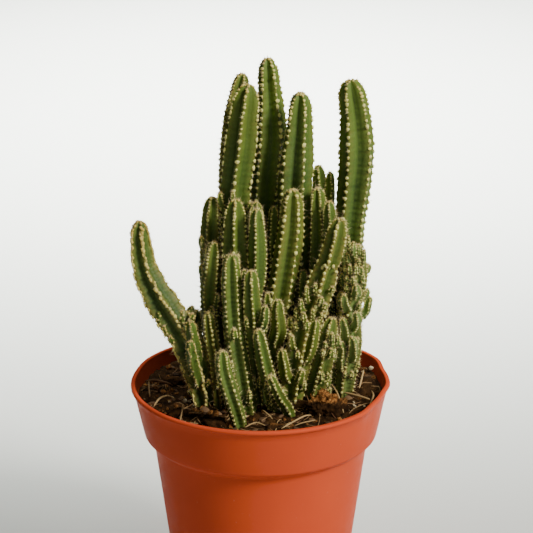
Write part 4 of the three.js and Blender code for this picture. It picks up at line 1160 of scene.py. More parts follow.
def free_tufts(places, number, chains):
    """Tufts that aren't buried in a neighbouring stem."""
    keep = np.ones(len(places), bool)
    for other, chain in enumerate(chains):
        if other != number:
            gaps = np.linalg.norm(places[:, None, :3] - chain["pts"][None], axis=2)
            keep &= ~(gaps < chain["bulk"][None] * BURIED_SHARE).any(axis=1)
    return places[keep]


def seen_tufts(places, chains):
    """Tufts that can be seen between the stems from above or from some side."""
    pts = np.concatenate([chain["pts"] for chain in chains])
    bulk = VIEW_GAP_SHARE * np.concatenate([chain["bulk"] for chain in chains])
    apart = pts[None] - (places[:, :3] + VIEW_LIFT * places[:, 3:6])[:, None]
    far = np.sum(apart**2, axis=2)
    seen = np.zeros(len(places), bool)
    level = level_ring(circle(VIEW_SIDES), math.cos(VIEW_RISE), math.sin(VIEW_RISE))
    for way in [UP, *level]:
        ahead = apart @ way
        blocked = (ahead > OWN_SKIN) & (far - ahead**2 < bulk[None] ** 2)
        seen |= ~blocked.any(axis=1)
    return places[seen]


def wool_colours(places, chain):
    """Colour shares of the tufts: tan against cream, light against dark, and dust."""
    count = len(places)
    from_tip = places[:, 12]
    tan = LEAST_TAN + TIP_TAN * np.exp(-from_tip / (TIP_TAN_REACH * chain["row"]["r"]))
    tan += rng.uniform(*TAN_RANGE, count)
    if "ragged" in chain["stem"]:
        tan += RAGGED_TAN
    light = rng.uniform(0, 1, count)
    low = smooth((DUSTY_Z - places[:, 2]) / DUSTY_RUN)
    return np.stack([np.clip(tan, 0, 1), light, low, np.ones(count)], 1)


def stem_wool(places, chain):
    """Woolly tufts: a lumpy pad and two smaller lumps beside it at every seat."""
    count = len(places)
    tones = wool_colours(places, chain)
    axes = places[:, 3:12].reshape(-1, 3, 3)
    size = (LEAST_WOOL + WOOL_SHARE * tuft_spacing(chain)) * rng.uniform(*WOOL_SIZES, count)
    size *= between(TIP_WOOL, 1.0, smooth(places[:, 12] / chain["row"]["r"]))
    long = PAD_LENGTH
    if is_ragged(chain):
        size *= RAGGED_WOOL
        long = RAGGED_PAD_LENGTH
    template = CORE * (PAD_SWELL + PAD_LUMPS * rng.uniform(-1, 1, (len(CORE), 1)))
    below = np.clip(-template[:, 1], 0, 1)
    template[:, 2] *= 1 - PAD_NARROWING * below
    template[:, 1] *= 1 + PAD_DROOP * below
    shape = size[:, None] * [PAD_HEIGHT, long, PAD_WIDTH]
    shape *= rng.uniform(1 - UNEVEN_WOOL, 1 + UNEVEN_WOOL, (count, 3))
    vertices, faces = copies(template, CORE_FACES, places[:, :3], axes, shape)
    shades = np.repeat(tones, len(template), axis=0)
    shades[:, 0] = np.clip(shades[:, 0] + LOWER_TAN * np.tile(below, count), 0, 1)
    parts = [(vertices, faces, {"wool": shades})]
    for turn in (0.0, math.pi):
        swing = turn + math.pi / 2 + rng.uniform(-SIDE_SWING, SIDE_SWING, count)
        offset = around(axes[:, 1], axes[:, 2], swing)
        at = places[:, :3] + offset * (SIDE_REACH * size)[:, None]
        small = size * rng.uniform(*SIDE_SIZES, count)
        sizes = np.stack([small * SIDE_FLATNESS, small, small], 1)
        vertices, faces = copies(LUMP, LUMP_FACES, at, axes, sizes)
        parts.append((vertices, faces, {"wool": np.repeat(tones, len(LUMP), axis=0)}))
    return joined(parts)


def spine_fans():
    """A few fans of short spines that spread from one seat, each a thin open pyramid."""
    fans = []
    for kind in range(SPINE_FANS):
        corners = []
        faces = []
        for k in range(SPINES_PER_TUFT):
            swing = 2 * math.pi * (k + rng.uniform(-SPINE_STRAY, SPINE_STRAY)) / SPINES_PER_TUFT
            tilt = rng.uniform(*SPINE_TILTS) if k else rng.uniform(*MIDDLE_SPINE_TILTS)
            flat = math.cos(tilt)
            aim = np.array([math.sin(tilt), flat * math.cos(swing), flat * math.sin(swing)])
            length = SPINE_LENGTH * rng.uniform(*SPINE_LENGTHS)
            if k == 0 and kind % 3 == 0:
                length *= LONG_SPINE
            start = len(corners)
            across = normalised(np.cross(aim, [1.0, 0.3, 0.2]))
            beside = np.cross(aim, across)
            for angle in circle(3):
                offset = across * math.cos(angle) + beside * math.sin(angle)
                corners.append(aim * SPINE_START + offset * SPINE_THICKNESS / 2)
            corners.append(aim * length)
            faces += [(start + side, start + (side + 1) % 3, start + 3) for side in range(3)]
        fans.append((np.array(corners), np.array(faces)))
    return fans


def stem_spines(places, chain):
    """Spines at every seat, in a few kinds of fan."""
    count = len(places)
    kind = rng.integers(0, len(FANS), count)
    flip = np.where(rng.uniform(0, 1, count) > 0.5, 1.0, -1.0)
    size = rng.uniform(*FAN_SIZES, count) * min(1.0, SLIM_FAN + FAN_GROWTH * chain["row"]["r"])
    swung = places[:, 3:12].reshape(-1, 3, 3).copy()
    swung[:, 1:] *= flip[:, None, None]
    parts = []
    for k, (corners, faces) in enumerate(FANS):
        use = kind == k
        if use.any():
            sizes = np.repeat(size[use, None], 3, axis=1)
            vertices, triangles = copies(corners, faces, places[use, :3], swung[use], sizes)
            shade = np.repeat(rng.uniform(0, 1, (int(use.sum()), 4)), len(corners), axis=0)
            parts.append((vertices, triangles, {"straw": shade}))
    return joined(parts)


def dress_stems():
    """Skin, wool and spines of every stem, in place of the solid model's stems."""
    chains = make_chains()
    ease(chains)
    add_buds(chains)
    for stem in STEMS:
        skins, wools, spines = [], [], []
        for number, chain in enumerate(chains):
            if chain["stem"] is not stem:
                continue
            chain["number"] = number
            line = stem_line(chain)
            *skin, seats = stem_skin(chain, line)
            skins.append(skin)
            places = free_tufts(tuft_places(chain, line, seats), number, chains)
            places = seen_tufts(places, chains)
            if len(places):
                wools.append(stem_wool(places, chain))
                spines.append(stem_spines(places, chain))
        label = stem["name"].replace("stem_", "")
        skin = make_object("skin_" + label, MATERIALS["skin"], *joined(skins))
        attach(skin, "root")
        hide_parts(stem["name"])
        wool = make_object("wool_" + label, MATERIALS["wool"], *joined(wools))
        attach(wool, "root")
        spine = make_object("spines_" + label, MATERIALS["straw"], *joined(spines), False)
        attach(spine, "root")


# Pot


def bent_rim(angle, amount):
    """How the rim's soft bends widen the collar at some angles."""
    out = 1.0
    for at, width, far in RIM_BENDS:
        out = out + far / RIM_RADIUS * amount * np.exp(-(((angle - at) / width) ** 4))
    return out


def pressed(vertices):
    """The pot's corners with the bends of its rim, which push the collar in and out."""
    angle = np.arctan2(vertices[:, 1], vertices[:, 0])
    amount = smooth((vertices[:, 2] - COLLAR_BOTTOM_Z) / (POT_HEIGHT - COLLAR_BOTTOM_Z))
    bent = vertices.copy()
    bent[:, :2] *= bent_rim(angle, amount)[:, None]
    return bent


def bow(x, z, radius, start, end, count):
    """Points on an arc of the profile, with angles in degrees."""
    angles = np.radians(np.linspace(start, end, count))
    return [(x + radius * math.cos(a), z + radius * math.sin(a)) for a in angles]


def rise(start, end, steps, bend=float):
    """Points on the way from one radius and height to another, without the first."""
    shares = [k / steps for k in range(1, steps + 1)]
    return [(between(start[0], end[0], bend(s)), between(start[1], end[1], s)) for s in shares]


def pot_profile():
    """Outline of the pot from the middle of its base round the lip to the inside."""
    bead = LIP_DEPTH / 2
    foot = (FOOT_RADIUS, FOOT_BEVEL)
    shoulder = (BODY_TOP_RADIUS, BODY_TOP_Z)
    collar = (COLLAR_BOTTOM_RADIUS, COLLAR_BOTTOM_Z)
    outline = [(0, 0), (10, 0), (20, 0)]
    outline += bow(FOOT_RADIUS - FOOT_BEVEL, FOOT_BEVEL, FOOT_BEVEL, -90, 0, 6)
    outline += rise(foot, shoulder, 8)
    outline += rise(shoulder, collar, 8, smooth)
    outline += rise(collar, (COLLAR_TOP_RADIUS, POT_HEIGHT - LIP_DEPTH - 0.25), 6)
    outline += bow(RIM_RADIUS - bead, POT_HEIGHT - bead, bead, -70, 110, 10)
    outline += bow(LIP_INNER_RADIUS + 0.3, POT_HEIGHT - 0.35, 0.35, 100, 180, 4)
    inner_foot = FOOT_RADIUS - WALL
    outline += [(COLLAR_BOTTOM_RADIUS - WALL + 0.1, COLLAR_BOTTOM_Z + 0.6)]
    outline += [(BODY_TOP_RADIUS - WALL, BODY_TOP_Z)]
    outline += [(inner_foot, BASE_THICKNESS + 0.8), (inner_foot - 0.8, BASE_THICKNESS)]
    outline += [(15, BASE_THICKNESS), (0, BASE_THICKNESS)]
    return np.array(outline)


def dress_pot():
    """Smooth pot with a rounded lip and open drain holes."""
    outline = pot_profile()
    middle = outline[1:-1]
    walls = [level_ring(circle(POT_SIDES), r, z) for r, z in middle]
    vertices = np.concatenate([*walls, [[0, 0, outline[0][1]], [0, 0, outline[-1][1]]]])
    top = int(np.argmax(middle[:, 1]))
    # Painted shade: the inside of the wall, from just below the lip down, and the inner floor are
    # darkened
    inner = np.repeat(smooth((np.arange(len(middle)) - top - 2) / 6), POT_SIDES)
    inner = np.concatenate([inner, [0, 1]])
    colours = {"inner": np.stack([inner, inner, inner, inner], 1)}
    faces = tube_faces(len(middle), POT_SIDES)
    pot = make_object("pot_shell", MATERIALS["pot"], pressed(vertices), faces, colours)
    for k in range(DRAIN_HOLES):
        angle = (k + 0.5) * 2 * math.pi / DRAIN_HOLES
        cut_round_hole(pot, DRAIN_HOLE_CIRCLE * math.cos(angle), DRAIN_HOLE_CIRCLE * math.sin(angle))
    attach(pot, "root")
    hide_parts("pot")


def cut_round_hole(pot, x, y):
    """Cut one drain hole through the pot's base."""
    below, above = -1, BASE_THICKNESS + 1
    rings = [level_ring(circle(HOLE_SIDES), DRAIN_HOLE_RADIUS, z) for z in (below, above)]
    vertices = np.concatenate([*rings, [[0, 0, below], [0, 0, above]]]) + [x, y, 0]
    # The hole walls take the same painted shade as the pot's inside
    colours = {"inner": np.ones((len(vertices), 4))}
    cutter = make_object("cutter", MATERIALS["pot"], vertices, tube_faces(2, HOLE_SIDES), colours)
    cut = pot.modifiers.new("hole", "BOOLEAN")
    cut.operation = "DIFFERENCE"
    cut.object = cutter
    depsgraph = bpy.context.evaluated_depsgraph_get()
    mesh = bpy.data.meshes.new_from_object(pot.evaluated_get(depsgraph))
    pot.modifiers.clear()
    pot.data = mesh
    bpy.data.objects.remove(cutter)


# Potting mix


def wall_radius(angle):
    """Radius of the pot's inside at the height of the mix."""
    share = (MIX_EDGE_Z - COLLAR_BOTTOM_Z) / (POT_HEIGHT - COLLAR_BOTTOM_Z)
    inner = between(COLLAR_BOTTOM_RADIUS - WALL, LIP_INNER_RADIUS, share)
    return inner * bent_rim(angle, smooth(share))


def mix_top(x, y):
    """Height of the mix, with clods, crumbs and hollows on its mound."""
    mound = MIX_MOUND * (1 - smooth(np.hypot(x, y) / (RIM_RADIUS - 3.5)))
    waves = 0.5 * np.sin(x * 0.33 + 1.3) * np.cos(y * 0.29 - 0.4)
    humps = 0.4 * np.sin(x * 0.81 + y * 0.47) * np.sin(y * 0.92 - x * 0.21 + 2)
    apart = np.hypot(x - HEAP_PLACE[0], y - HEAP_PLACE[1])
    heap = HEAP_HEIGHT * np.exp(-((apart / HEAP_WIDTH) ** 2))
    return MIX_EDGE_Z + mound + waves + humps + heap


def rough_top(x, y):
    """Height of the mix with its crumbs."""
    flat = np.stack([x, y, np.zeros(len(x))], 1)
    crumbs = 0.55 * np.abs(noise(flat, 3.1, 1)) + 0.4 * np.abs(noise(flat, 1.5, 2))
    crumbs += 0.2 * noise(flat, 0.7, 5)
    return mix_top(x, y) - 0.35 + crumbs


def ground_at(x, y):
    """Height of the mix at one place."""
    return float(rough_top(np.array([x]), np.array([y]))[0])


def dress_mix():
    """Crumbly ground in the pot, closed below, in place of the plain solid."""
    angle = circle(MIX_SIDES)
    share = (np.arange(1, MIX_RINGS + 1) / MIX_RINGS) ** 0.8
    radius = (wall_radius(angle) - 0.12)[None] * share[:, None]
    x, y = (radius * np.cos(angle)).ravel(), (radius * np.sin(angle)).ravel()
    rings = [np.stack([x, y, rough_top(x, y)], 1)]
    floor = BASE_THICKNESS + 0.9
    rings.append(level_ring(angle, COLLAR_BOTTOM_RADIUS - WALL - 0.4, COLLAR_BOTTOM_Z + 0.6))
    rings.append(level_ring(angle, BODY_TOP_RADIUS - WALL - 0.3, BODY_TOP_Z))
    rings.append(level_ring(angle, FOOT_RADIUS - WALL - 0.4, floor))
    vertices = np.concatenate([*rings, [[0, 0, ground_at(0.0, 0.0)], [0, 0, floor]]])
    faces = tube_faces(MIX_RINGS + 3, MIX_SIDES)[:, ::-1]
    ground = make_object("ground", MATERIALS["mix"], vertices, faces)
    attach(ground, "root")
    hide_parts("soil")


def loose_places(count, inner, seed_stream):
    """Random places on the mix between the middle of the pot and its wall."""
    angle = seed_stream.uniform(-math.pi, math.pi, count)
    share = np.sqrt(seed_stream.uniform(inner**2, 1, count))
    radius = (wall_radius(angle) - 1.2) * share
    x, y = radius * np.cos(angle), radius * np.sin(angle)
    return np.stack([x, y, rough_top(x, y)], 1)


def lumps(name, material, count, sizes, flatness, inner, extra=()):
    """Angular crumbs, chips or grains lying on the mix."""
    stream = np.random.default_rng(len(name) * 31 + count)
    places = loose_places(count, inner, stream)
    size = stream.uniform(*sizes, count) * stream.uniform(0.6, 1, count)
    for x, y, z, grain in extra:
        places = np.vstack([places, [x, y, z]])
        size = np.append(size, grain)
    total = len(places)
    swing = stream.uniform(0, 2 * math.pi, total)
    tilt = stream.uniform(-LUMP_TILT, LUMP_TILT, (total, 2))
    up = normalised(np.hstack([tilt, np.ones((total, 1))]))
    ahead = square_to(level_ring(swing, 1.0, 0.0), up)
    axes = np.stack([ahead, np.cross(up, ahead), up], 1)
    shape = np.stack([size, size * stream.uniform(*LUMP_WIDTHS, total), size * flatness], 1)
    vertices, faces = copies(BALL, BALL_FACES, places, axes, shape)
    middle = np.repeat(places, len(BALL), axis=0)
    reach = np.repeat(size, len(BALL))[:, None]
    bumps = 1 + LUMP_ROUGHNESS * noise((vertices - middle) / reach + middle * 3.7, 0.8, 4)
    vertices = middle + (vertices - middle) * bumps[:, None]
    for _ in range(FLAT_SIDES):
        facing = np.repeat(normalised(stream.normal(size=(total, 3))), len(BALL), axis=0)
        past = np.sum((vertices - middle) * facing, axis=1, keepdims=True) - FACET_DEPTH * reach
        vertices = vertices - facing * np.maximum(past, 0)
    shade = np.repeat(stream.uniform(0, 1, (total, 4)), len(BALL), axis=0)
    piece = make_object(name, MATERIALS[material], vertices, faces, {"shade": shade}, False)
    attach(piece, "root")


def strand(points, radius, shade, sides=5):
    """Closed thin tube that tapers towards both ends along some points, with its shade."""
    line = middle_line(resample(points, max(0.5, run_of(np.array(points, float))[-1] / STRAND_PARTS)))
    centre, _, u, v = place_on(line, line["run"])
    share = line["run"] / line["total"]
    thick = radius * (0.35 + 0.65 * np.sqrt(np.clip(4 * share * (1 - share), 0, 1)))
    rings = [centre + (u * math.cos(a) + v * math.sin(a)) * thick[:, None] for a in circle(sides)]
    vertices = np.concatenate([np.stack(rings, 1).reshape(-1, 3), centre[:1], centre[-1:]])
    return vertices, tube_faces(len(centre), sides), {"shade": np.tile(shade, (len(vertices), 1))}


def root_path(start, stream):
    """Points of a small dry root that wanders over the mix from a place."""
    length = stream.uniform(*FIBRE_LENGTHS)
    heading = stream.uniform(0, 2 * math.pi)
    curl = stream.uniform(-FIBRE_CURL, FIBRE_CURL)
    last = FIBRE_POINTS - 1
    step = length / last
    points = []
    x, y = start[0], start[1]
    for k in range(FIBRE_POINTS):
        lift = stream.uniform(*FIBRE_LIFTS)
        if k == last:
            lift += stream.uniform(0, FIBRE_END_LIFT)
        limit = float(wall_radius(np.array([math.atan2(y, x)]))[0]) - FIBRE_WALL_GAP
        out = max(1.0, math.hypot(x, y) / limit)
        x, y = x / out, y / out
        points.append([x, y, ground_at(x, y) + lift])
        heading += curl * step
        x += math.cos(heading) * step
        y += math.sin(heading) * step
    return points


def dress_fibres():
    """Dry roots and straw lying on the mix: the ones that stand out, then many small ones."""
    stream = np.random.default_rng(FIBRE_SEED)
    parts = [strand(points, radius, [shade, 0.5, 0.5, 1.0]) for points, radius, shade in FIBRES]
    for start in loose_places(FIBRE_COUNT, 0.45, stream):
        points = root_path(start, stream)
        radius = stream.uniform(*FIBRE_RADII)
        shade = [stream.uniform(*FIBRE_SHADES), 0.5, 0.5, 1.0]
        parts.append(strand(points, radius, shade, 4))
    fibres = make_object("fibres", MATERIALS["fibre"], *joined(parts))
    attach(fibres, "root")


def flat_faced(directions, stream):
    """Radius in each direction of an angular lump that flat faces bound."""
    normals = normalised(stream.normal(size=(CLOD_FACES, 3)))
    depth = stream.uniform(*CLOD_DEPTHS, CLOD_FACES)
    reach = np.maximum(directions @ normals.T, 0.2)
    return np.minimum((depth / reach).min(axis=1), CLOD_REACH)


def moss(ground, stream):
    """Short curled hairs of rusty moss that stand on a clod."""
    parts = []
    for root in ground[stream.integers(0, len(ground), MOSS_HAIRS)]:
        knee = root + stream.uniform([-0.7, -0.7, 0.2], [0.7, 0.7, 1.0])
        tip = knee + stream.uniform([-0.9, -0.9, -0.5], [0.9, 0.9, 0.8])
        parts.append(strand([root, knee, tip], stream.uniform(0.09, 0.18), [1.0] * 4, 3))
    return parts


def dress_clods():
    """Large clods of peat, with rusty moss on the biggest."""
    stream = np.random.default_rng(CLOD_SEED)
    parts = []
    for number, (x, y, z, sx, sy, sz, turn, rust) in enumerate(CLODS):
        template, faces = ball(4 if sx > BIG_CLOD else 3)
        shape = template * flat_faced(template, stream)[:, None] * [sx, sy, sz]
        grain = np.ones(len(shape))
        for strength, size, seed in CLOD_GRAIN:
            grain += strength * noise(shape, size, number + seed)
        shape = shape * grain[:, None]
        c, s = math.cos(turn), math.sin(turn)
        places = shape @ np.array([[c, s, 0], [-s, c, 0], [0, 0, 1]]) + [x, y, z]
        top = rust * smooth((shape[:, 2] / sz - 0.5) / 0.25)
        tone = np.full(len(places), number / len(CLODS))
        parts.append((places, faces, {"shade": np.stack([top, tone, tone, tone], 1)}))
        if rust > MOSSY and sx > BIG_CLOD:
            parts += moss(places[top > 0.6], stream)
    clods = make_object("clods", MATERIALS["clod"], *joined(parts))
    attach(clods, "root")


# Materials

# Sockets of a colour mix
COLOUR_A = 6
COLOUR_B = 7
COLOUR_RESULT = 2


class Shader:
    """A material and the nodes that shade it."""

    def __init__(self, name, roughness):
        self.material = bpy.data.materials.new(name)
        self.material.use_nodes = True
        self.tree = self.material.node_tree
        self.body = self.tree.nodes["Principled BSDF"]
        self.body.inputs["Roughness"].default_value = roughness
        self.places = self.tree.nodes.new("ShaderNodeTexCoord").outputs["Object"]

    def link(self, source, target):
        """Join an output to an input, or set the input to a plain value."""
        if isinstance(source, bpy.types.NodeSocket):
            self.tree.links.new(source, target)
        else:
            target.default_value = source

    def add(self, kind, inputs, **settings):
        """New node with its settings and its inputs."""
        node = self.tree.nodes.new("ShaderNode" + kind)
        for name, value in settings.items():
            setattr(node, name, value)
        for name, value in inputs.items():
            self.link(value, node.inputs[name])
        return node.outputs

    def noise(self, size, detail=3.0, stretch=(1, 1, 1)):
        """Cloudy value from 0 to 1 with lumps of a size in millimetres."""
        at = self.add("Mapping", {"Scale": stretch, "Vector": self.places})["Vector"]
        inputs = {"Scale": 1 / (size * MM), "Detail": detail, "Vector": at}
        return self.add("TexNoise", inputs)["Fac"]

    def shares(self, name):
        """The four shares stored on the corners of a mesh."""
        stored = self.add("Attribute", {}, attribute_name=name)
        return [*self.add("SeparateColor", {"Color": stored["Color"]}), stored["Alpha"]]

    def math(self, operation, a, b):
        """Result of one sum, difference or product, kept between 0 and 1."""
        return self.add("Math", {0: a, 1: b}, operation=operation, use_clamp=True)[0]

    def times(self, a, b):
        """Product of two shares."""
        return self.math("MULTIPLY", a, b)

    def ramp(self, value, low, high):
        """Value from 0 to 1 as another value goes from low to high."""
        return self.add("MapRange", {"From Min": low, "From Max": high, "Value": value})["Result"]

    def mix(self, share, a, b):
        """Colour between two colours."""
        inputs = {"Factor": share, COLOUR_A: colour(a), COLOUR_B: colour(b)}
        return self.add("Mix", inputs, data_type="RGBA")[COLOUR_RESULT]

    def towards(self, base, tone, share, amount):
        """A base colour turned towards a tone by an amount where a share says so."""
        return self.mix(self.times(share, amount), base, tone)

    def bump(self, height, depth):
        """Fine relief of a depth in millimetres."""
        relief = self.add("Bump", {"Distance": depth * MM, "Height": height})["Normal"]
        self.link(relief, self.body.inputs["Normal"])

    def paint(self, value, socket="Base Color"):
        """Set the shader's colour or another of its inputs."""
        self.link(value, self.body.inputs[socket])


def colour(value):
    """Colour with its alpha, where a plain one is given."""
    return (*value, 1.0) if isinstance(value, tuple) else value


def skin_material():
    """Waxy green skin: paler rib edges, brown low down, painted shade in valleys, notches and shaded
    stems, painted light on pale ones.
    """
    s = Shader("skin", 0.46)
    edge, seat, young, share = s.shares("look")
    age, tint, bloom, pale = s.shares("grown")
    dry = s.shares("wear")[0]
    cloud = s.noise(5.0)
    fine = s.noise(0.7, 4.0)
    base = s.mix(s.ramp(tint, 0.0, 0.5), BLUE_GREEN, LEAF_GREEN)
    base = s.mix(s.ramp(tint, 0.5, 1.0), base, OLIVE_GREEN)
    # The bloom mixes in fresh green; where a stem has painted shade, its lower bloom darkens the skin
    light = s.math("ADD", s.times(bloom, 0.32), s.ramp(cloud, 0.3, 1.1))
    base = s.mix(light, base, FRESH_GREEN)
    base = s.towards(base, YOUNG_GREEN, young, 0.35)
    # Pale stems turn towards a light grey green: partly their own grey, partly painted light
    base = s.towards(base, PALE_AND_LIT_GREEN, pale, 0.75)
    worn = s.times(age, s.ramp(s.noise(7.0), 0.35, 0.75))
    base = s.towards(base, OLIVE_BROWN, worn, 0.5)
    tanned = s.times(dry, s.ramp(s.noise(4.0, 4.0), 0.3, 0.8))
    base = s.towards(base, DRY_SKIN, tanned, 0.7)
    # Painted shade: the skin darkens towards each valley between ribs, less on the pale stems
    valley_shade = s.times(s.ramp(share, 0.25, 1.0), s.ramp(pale, 1.6, -0.4))
    base = s.towards(base, VALLEY_SHADE_GREEN, valley_shade, 0.6)
    # Rib edge between tufts: partly the edge's own brown, partly painted shade in the recessed notches
    notch_brown_and_shade = s.times(edge, s.math("SUBTRACT", 1.0, seat))
    base = s.towards(base, NOTCH_BROWN_AND_SHADE, notch_brown_and_shade, 0.6)
    base = s.towards(base, GOLDEN, s.times(edge, dry), s.ramp(s.noise(1.1, 4.0), 0.3, 0.6))
    streak = s.times(seat, s.ramp(fine, 0.3, 0.7))
    base = s.towards(base, STREAK_GREEN, streak, 0.55)
    base = s.towards(base, FLECK, s.ramp(fine, 0.6, 0.75), 0.2)
    s.paint(base)
    s.paint(0.06, "Subsurface Weight")
    s.paint(1.2 * MM, "Subsurface Scale")
    s.paint((0.6, 1.0, 0.25), "Subsurface Radius")
    s.paint(s.ramp(s.noise(2.2), -1.6, 2.4), "Roughness")
    s.paint(0.22, "Specular IOR Level")
    s.bump(s.noise(0.45, 5.0), 0.09)
    return s.material


def wool_material():
    """Cream wool that turns tan at the tips and dusty low down."""
    s = Shader("wool", 0.95)
    tan, light, low, _ = s.shares("wool")
    base = s.mix(tan, CREAM, TAN)
    base = s.towards(base, DUST, low, 0.28)
    base = s.towards(base, WOOL_SHADE, light, 0.14)
    base = s.mix(s.ramp(s.noise(0.3, 4.0), 0.35, 0.65), s.mix(0.28, base, WOOL_SHADE), base)
    s.paint(base)
    s.paint(0.25, "Sheen Weight")
    s.bump(s.noise(0.22, 4.0), 0.16)
    return s.material


def straw_material():
    """Straw-coloured spines, some browner."""
    s = Shader("straw", 0.5)
    s.paint(s.mix(s.shares("straw")[0], STRAW, BROWN_SPINE))
    return s.material


def pot_material():
    """Thin terracotta-coloured plastic with a soft sheen, dust, faint scuffs and painted shade inside.
    """
    s = Shader("pot", 0.4)
    base = s.mix(s.noise(22.0, 2.0), POT_DEEP, POT_ORANGE)
    # Painted shade inside the pot and in its drain holes
    base = s.towards(base, POT_INSIDE_SHADE, s.shares("inner")[0], 0.88)
    base = s.towards(base, POT_DUST, s.ramp(s.noise(1.3, 5.0), 0.69, 0.8), 0.22)
    s.paint(base)
    s.paint(s.ramp(s.noise(3.0, 4.0), -1.1, 2.6), "Roughness")
    s.paint(0.03, "Specular IOR Level")
    s.bump(s.noise(0.8, 4.0, (1, 1, 0.35)), 0.018)
    return s.material


def mix_material():
    """Dark moist peat with brown crumbs."""
    s = Shader("mix", 0.95)
    base = s.mix(s.ramp(s.noise(2.4, 6.0), 0.35, 0.7), PEAT_DARK, PEAT_BROWN)
    base = s.mix(s.ramp(s.noise(0.9, 6.0), 0.6, 0.75), base, PEAT_TAN)
    s.paint(base)
    s.paint(0.08, "Specular IOR Level")
    s.bump(s.noise(0.6, 6.0), 0.5)
    return s.material


def clod_material():
    """Peat clods, with rusty moss where the share says so."""
    s = Shader("clod", 0.95)
    rust = s.shares("shade")[0]
    base = s.mix(s.ramp(s.noise(1.6, 6.0), 0.35, 0.7), PEAT_DARK, CLOD_BROWN)
    mossy = s.times(rust, s.ramp(s.noise(0.9, 5.0), 0.32, 0.55))
    base = s.mix(mossy, base, s.mix(s.ramp(s.noise(0.5), 0.4, 0.65), RUST, RUST_LIGHT))
    s.paint(base)
    s.paint(0.08, "Specular IOR Level")
    s.bump(s.noise(0.4, 6.0), 0.4)
    return s.material


def loose_material(name, dark, light, roughness):
    """Loose grains, chips or roots, each with its own shade."""
    s = Shader(name, roughness)
    base = s.mix(s.shares("shade")[0], dark, light)
    base = s.towards(base, s.mix(0.6, base, PEAT_DARK), s.noise(0.6, 4.0), 0.5)
    s.paint(base)
    s.paint(0.15, "Specular IOR Level")
    s.bump(s.noise(0.3, 4.0), 0.15)
    return s.material


# Colours of light on each surface
# Painted shade of the valleys between ribs
VALLEY_SHADE_GREEN = (0.026, 0.049, 0.006)
BLUE_GREEN = (0.036, 0.086, 0.024)
FRESH_GREEN = (0.138, 0.214, 0.034)
LEAF_GREEN = (0.058, 0.118, 0.017)
OLIVE_GREEN = (0.112, 0.124, 0.013)
STREAK_GREEN = (0.150, 0.215, 0.030)
YOUNG_GREEN = (0.150, 0.255, 0.030)
# Light grey green of the pale stems, partly painted light
PALE_AND_LIT_GREEN = (0.180, 0.262, 0.074)
DRY_SKIN = (0.112, 0.100, 0.018)
GOLDEN = (0.46, 0.33, 0.085)
OLIVE_BROWN = (0.060, 0.042, 0.006)
# Brown of the notches between tufts, partly painted shade
NOTCH_BROWN_AND_SHADE = (0.135, 0.088, 0.018)
FLECK = (0.22, 0.26, 0.05)
CREAM = (0.93, 0.96, 0.30)
TAN = (0.66, 0.47, 0.08)
DUST = (0.52, 0.42, 0.12)
WOOL_SHADE = (0.38, 0.29, 0.065)
STRAW = (0.95, 0.80, 0.48)
BROWN_SPINE = (0.58, 0.38, 0.15)
POT_ORANGE = (0.655, 0.087, 0.030)
POT_DEEP = (0.565, 0.069, 0.023)
# Painted shade inside the pot
POT_INSIDE_SHADE = (0.095, 0.034, 0.016)
POT_DUST = (0.78, 0.42, 0.24)
PEAT_DARK = (0.013, 0.006, 0.002)
PEAT_BROWN = (0.058, 0.027, 0.008)
PEAT_TAN = (0.16, 0.085, 0.028)
CLOD_BROWN = (0.058, 0.026, 0.008)
RUST = (0.24, 0.085, 0.020)
RUST_LIGHT = (0.52, 0.25, 0.075)
GRIT_GREY = (0.34, 0.25, 0.13)
GRIT_WHITE = (0.62, 0.52, 0.32)
ROOT_BROWN = (0.12, 0.05, 0.022)
ROOT_TAN = (0.62, 0.42, 0.19)
BARK_DARK = (0.045, 0.024, 0.013)
BARK_BROWN = (0.24, 0.14, 0.07)


# Camera, light and floor, with places and sizes of lights in metres
PLANT_MIDDLE = (0, 0, 0.11)
KEY_PLACE = (1.05, -0.80, 1.12)
KEY_SIZE = 0.42
KEY_POWER = 39
KEY_TONE = (1.0, 0.96, 0.90)
FILL_PLACE = (0.3, -1.5, 0.78)
FILL_SIZE = 0.5
FILL_POWER = 1.8
FILL_TONE = (1.0, 0.98, 0.92)
BACKDROP_PLACE = (0, 0.66, 1.1)
BACKDROP_AIM = (0, 0.60, 0)
BACKDROP_SIZE = 0.5
BACKDROP_POWER = 15
BACKDROP_TONE = (0.98, 1.0, 0.97)
BACKDROP_SPREAD = math.radians(50)
SKY_TONE = (0.93, 0.97, 1.0, 1.0)
SKY_STRENGTH = 0.03
FLOOR_REACH = 6000.0
FLOOR_TONES = ((0.54, 0.56, 0.52), (0.60, 0.61, 0.58))
FLOOR_CLOUD = 400


def place_camera():
    """Camera at the photo's viewing angle, with the lip's middle at its pixel."""
    half = IMAGE_SIZE / 2
    drop = math.atan2(RIM_PIXEL[1] - half, FOCAL_PIXELS)
    turn = -math.atan2(RIM_PIXEL[0] - half, FOCAL_PIXELS)
    pitch = CAMERA_RISE - drop
    level = math.cos(pitch)
    ahead = Vector((math.sin(turn) * level, math.cos(turn) * level, -math.sin(pitch)))
    right = Vector((math.cos(turn), -math.sin(turn), 0))
    up = right.cross(ahead)
    back = Vector((0, -math.cos(CAMERA_RISE), math.sin(CAMERA_RISE))) * CAMERA_DISTANCE
    data = bpy.data.cameras.new("camera")
    data.sensor_width = SENSOR_MM
    data.lens = FOCAL_PIXELS / IMAGE_SIZE * SENSOR_MM
    data.clip_start = 0.01
    turned = Matrix((right, up, -ahead)).transposed().to_4x4()
    bpy.context.scene.camera = placed(data, (Vector((0, 0, RIM_HEIGHT)) + back) * MM, turned)


def placed(data, place, turned):
    """Camera or light of some data at a place in metres, turned."""
    thing = bpy.data.objects.new(data.name, data)
    thing.matrix_world = Matrix.Translation(place) @ turned
    bpy.context.collection.objects.link(thing)
    return thing


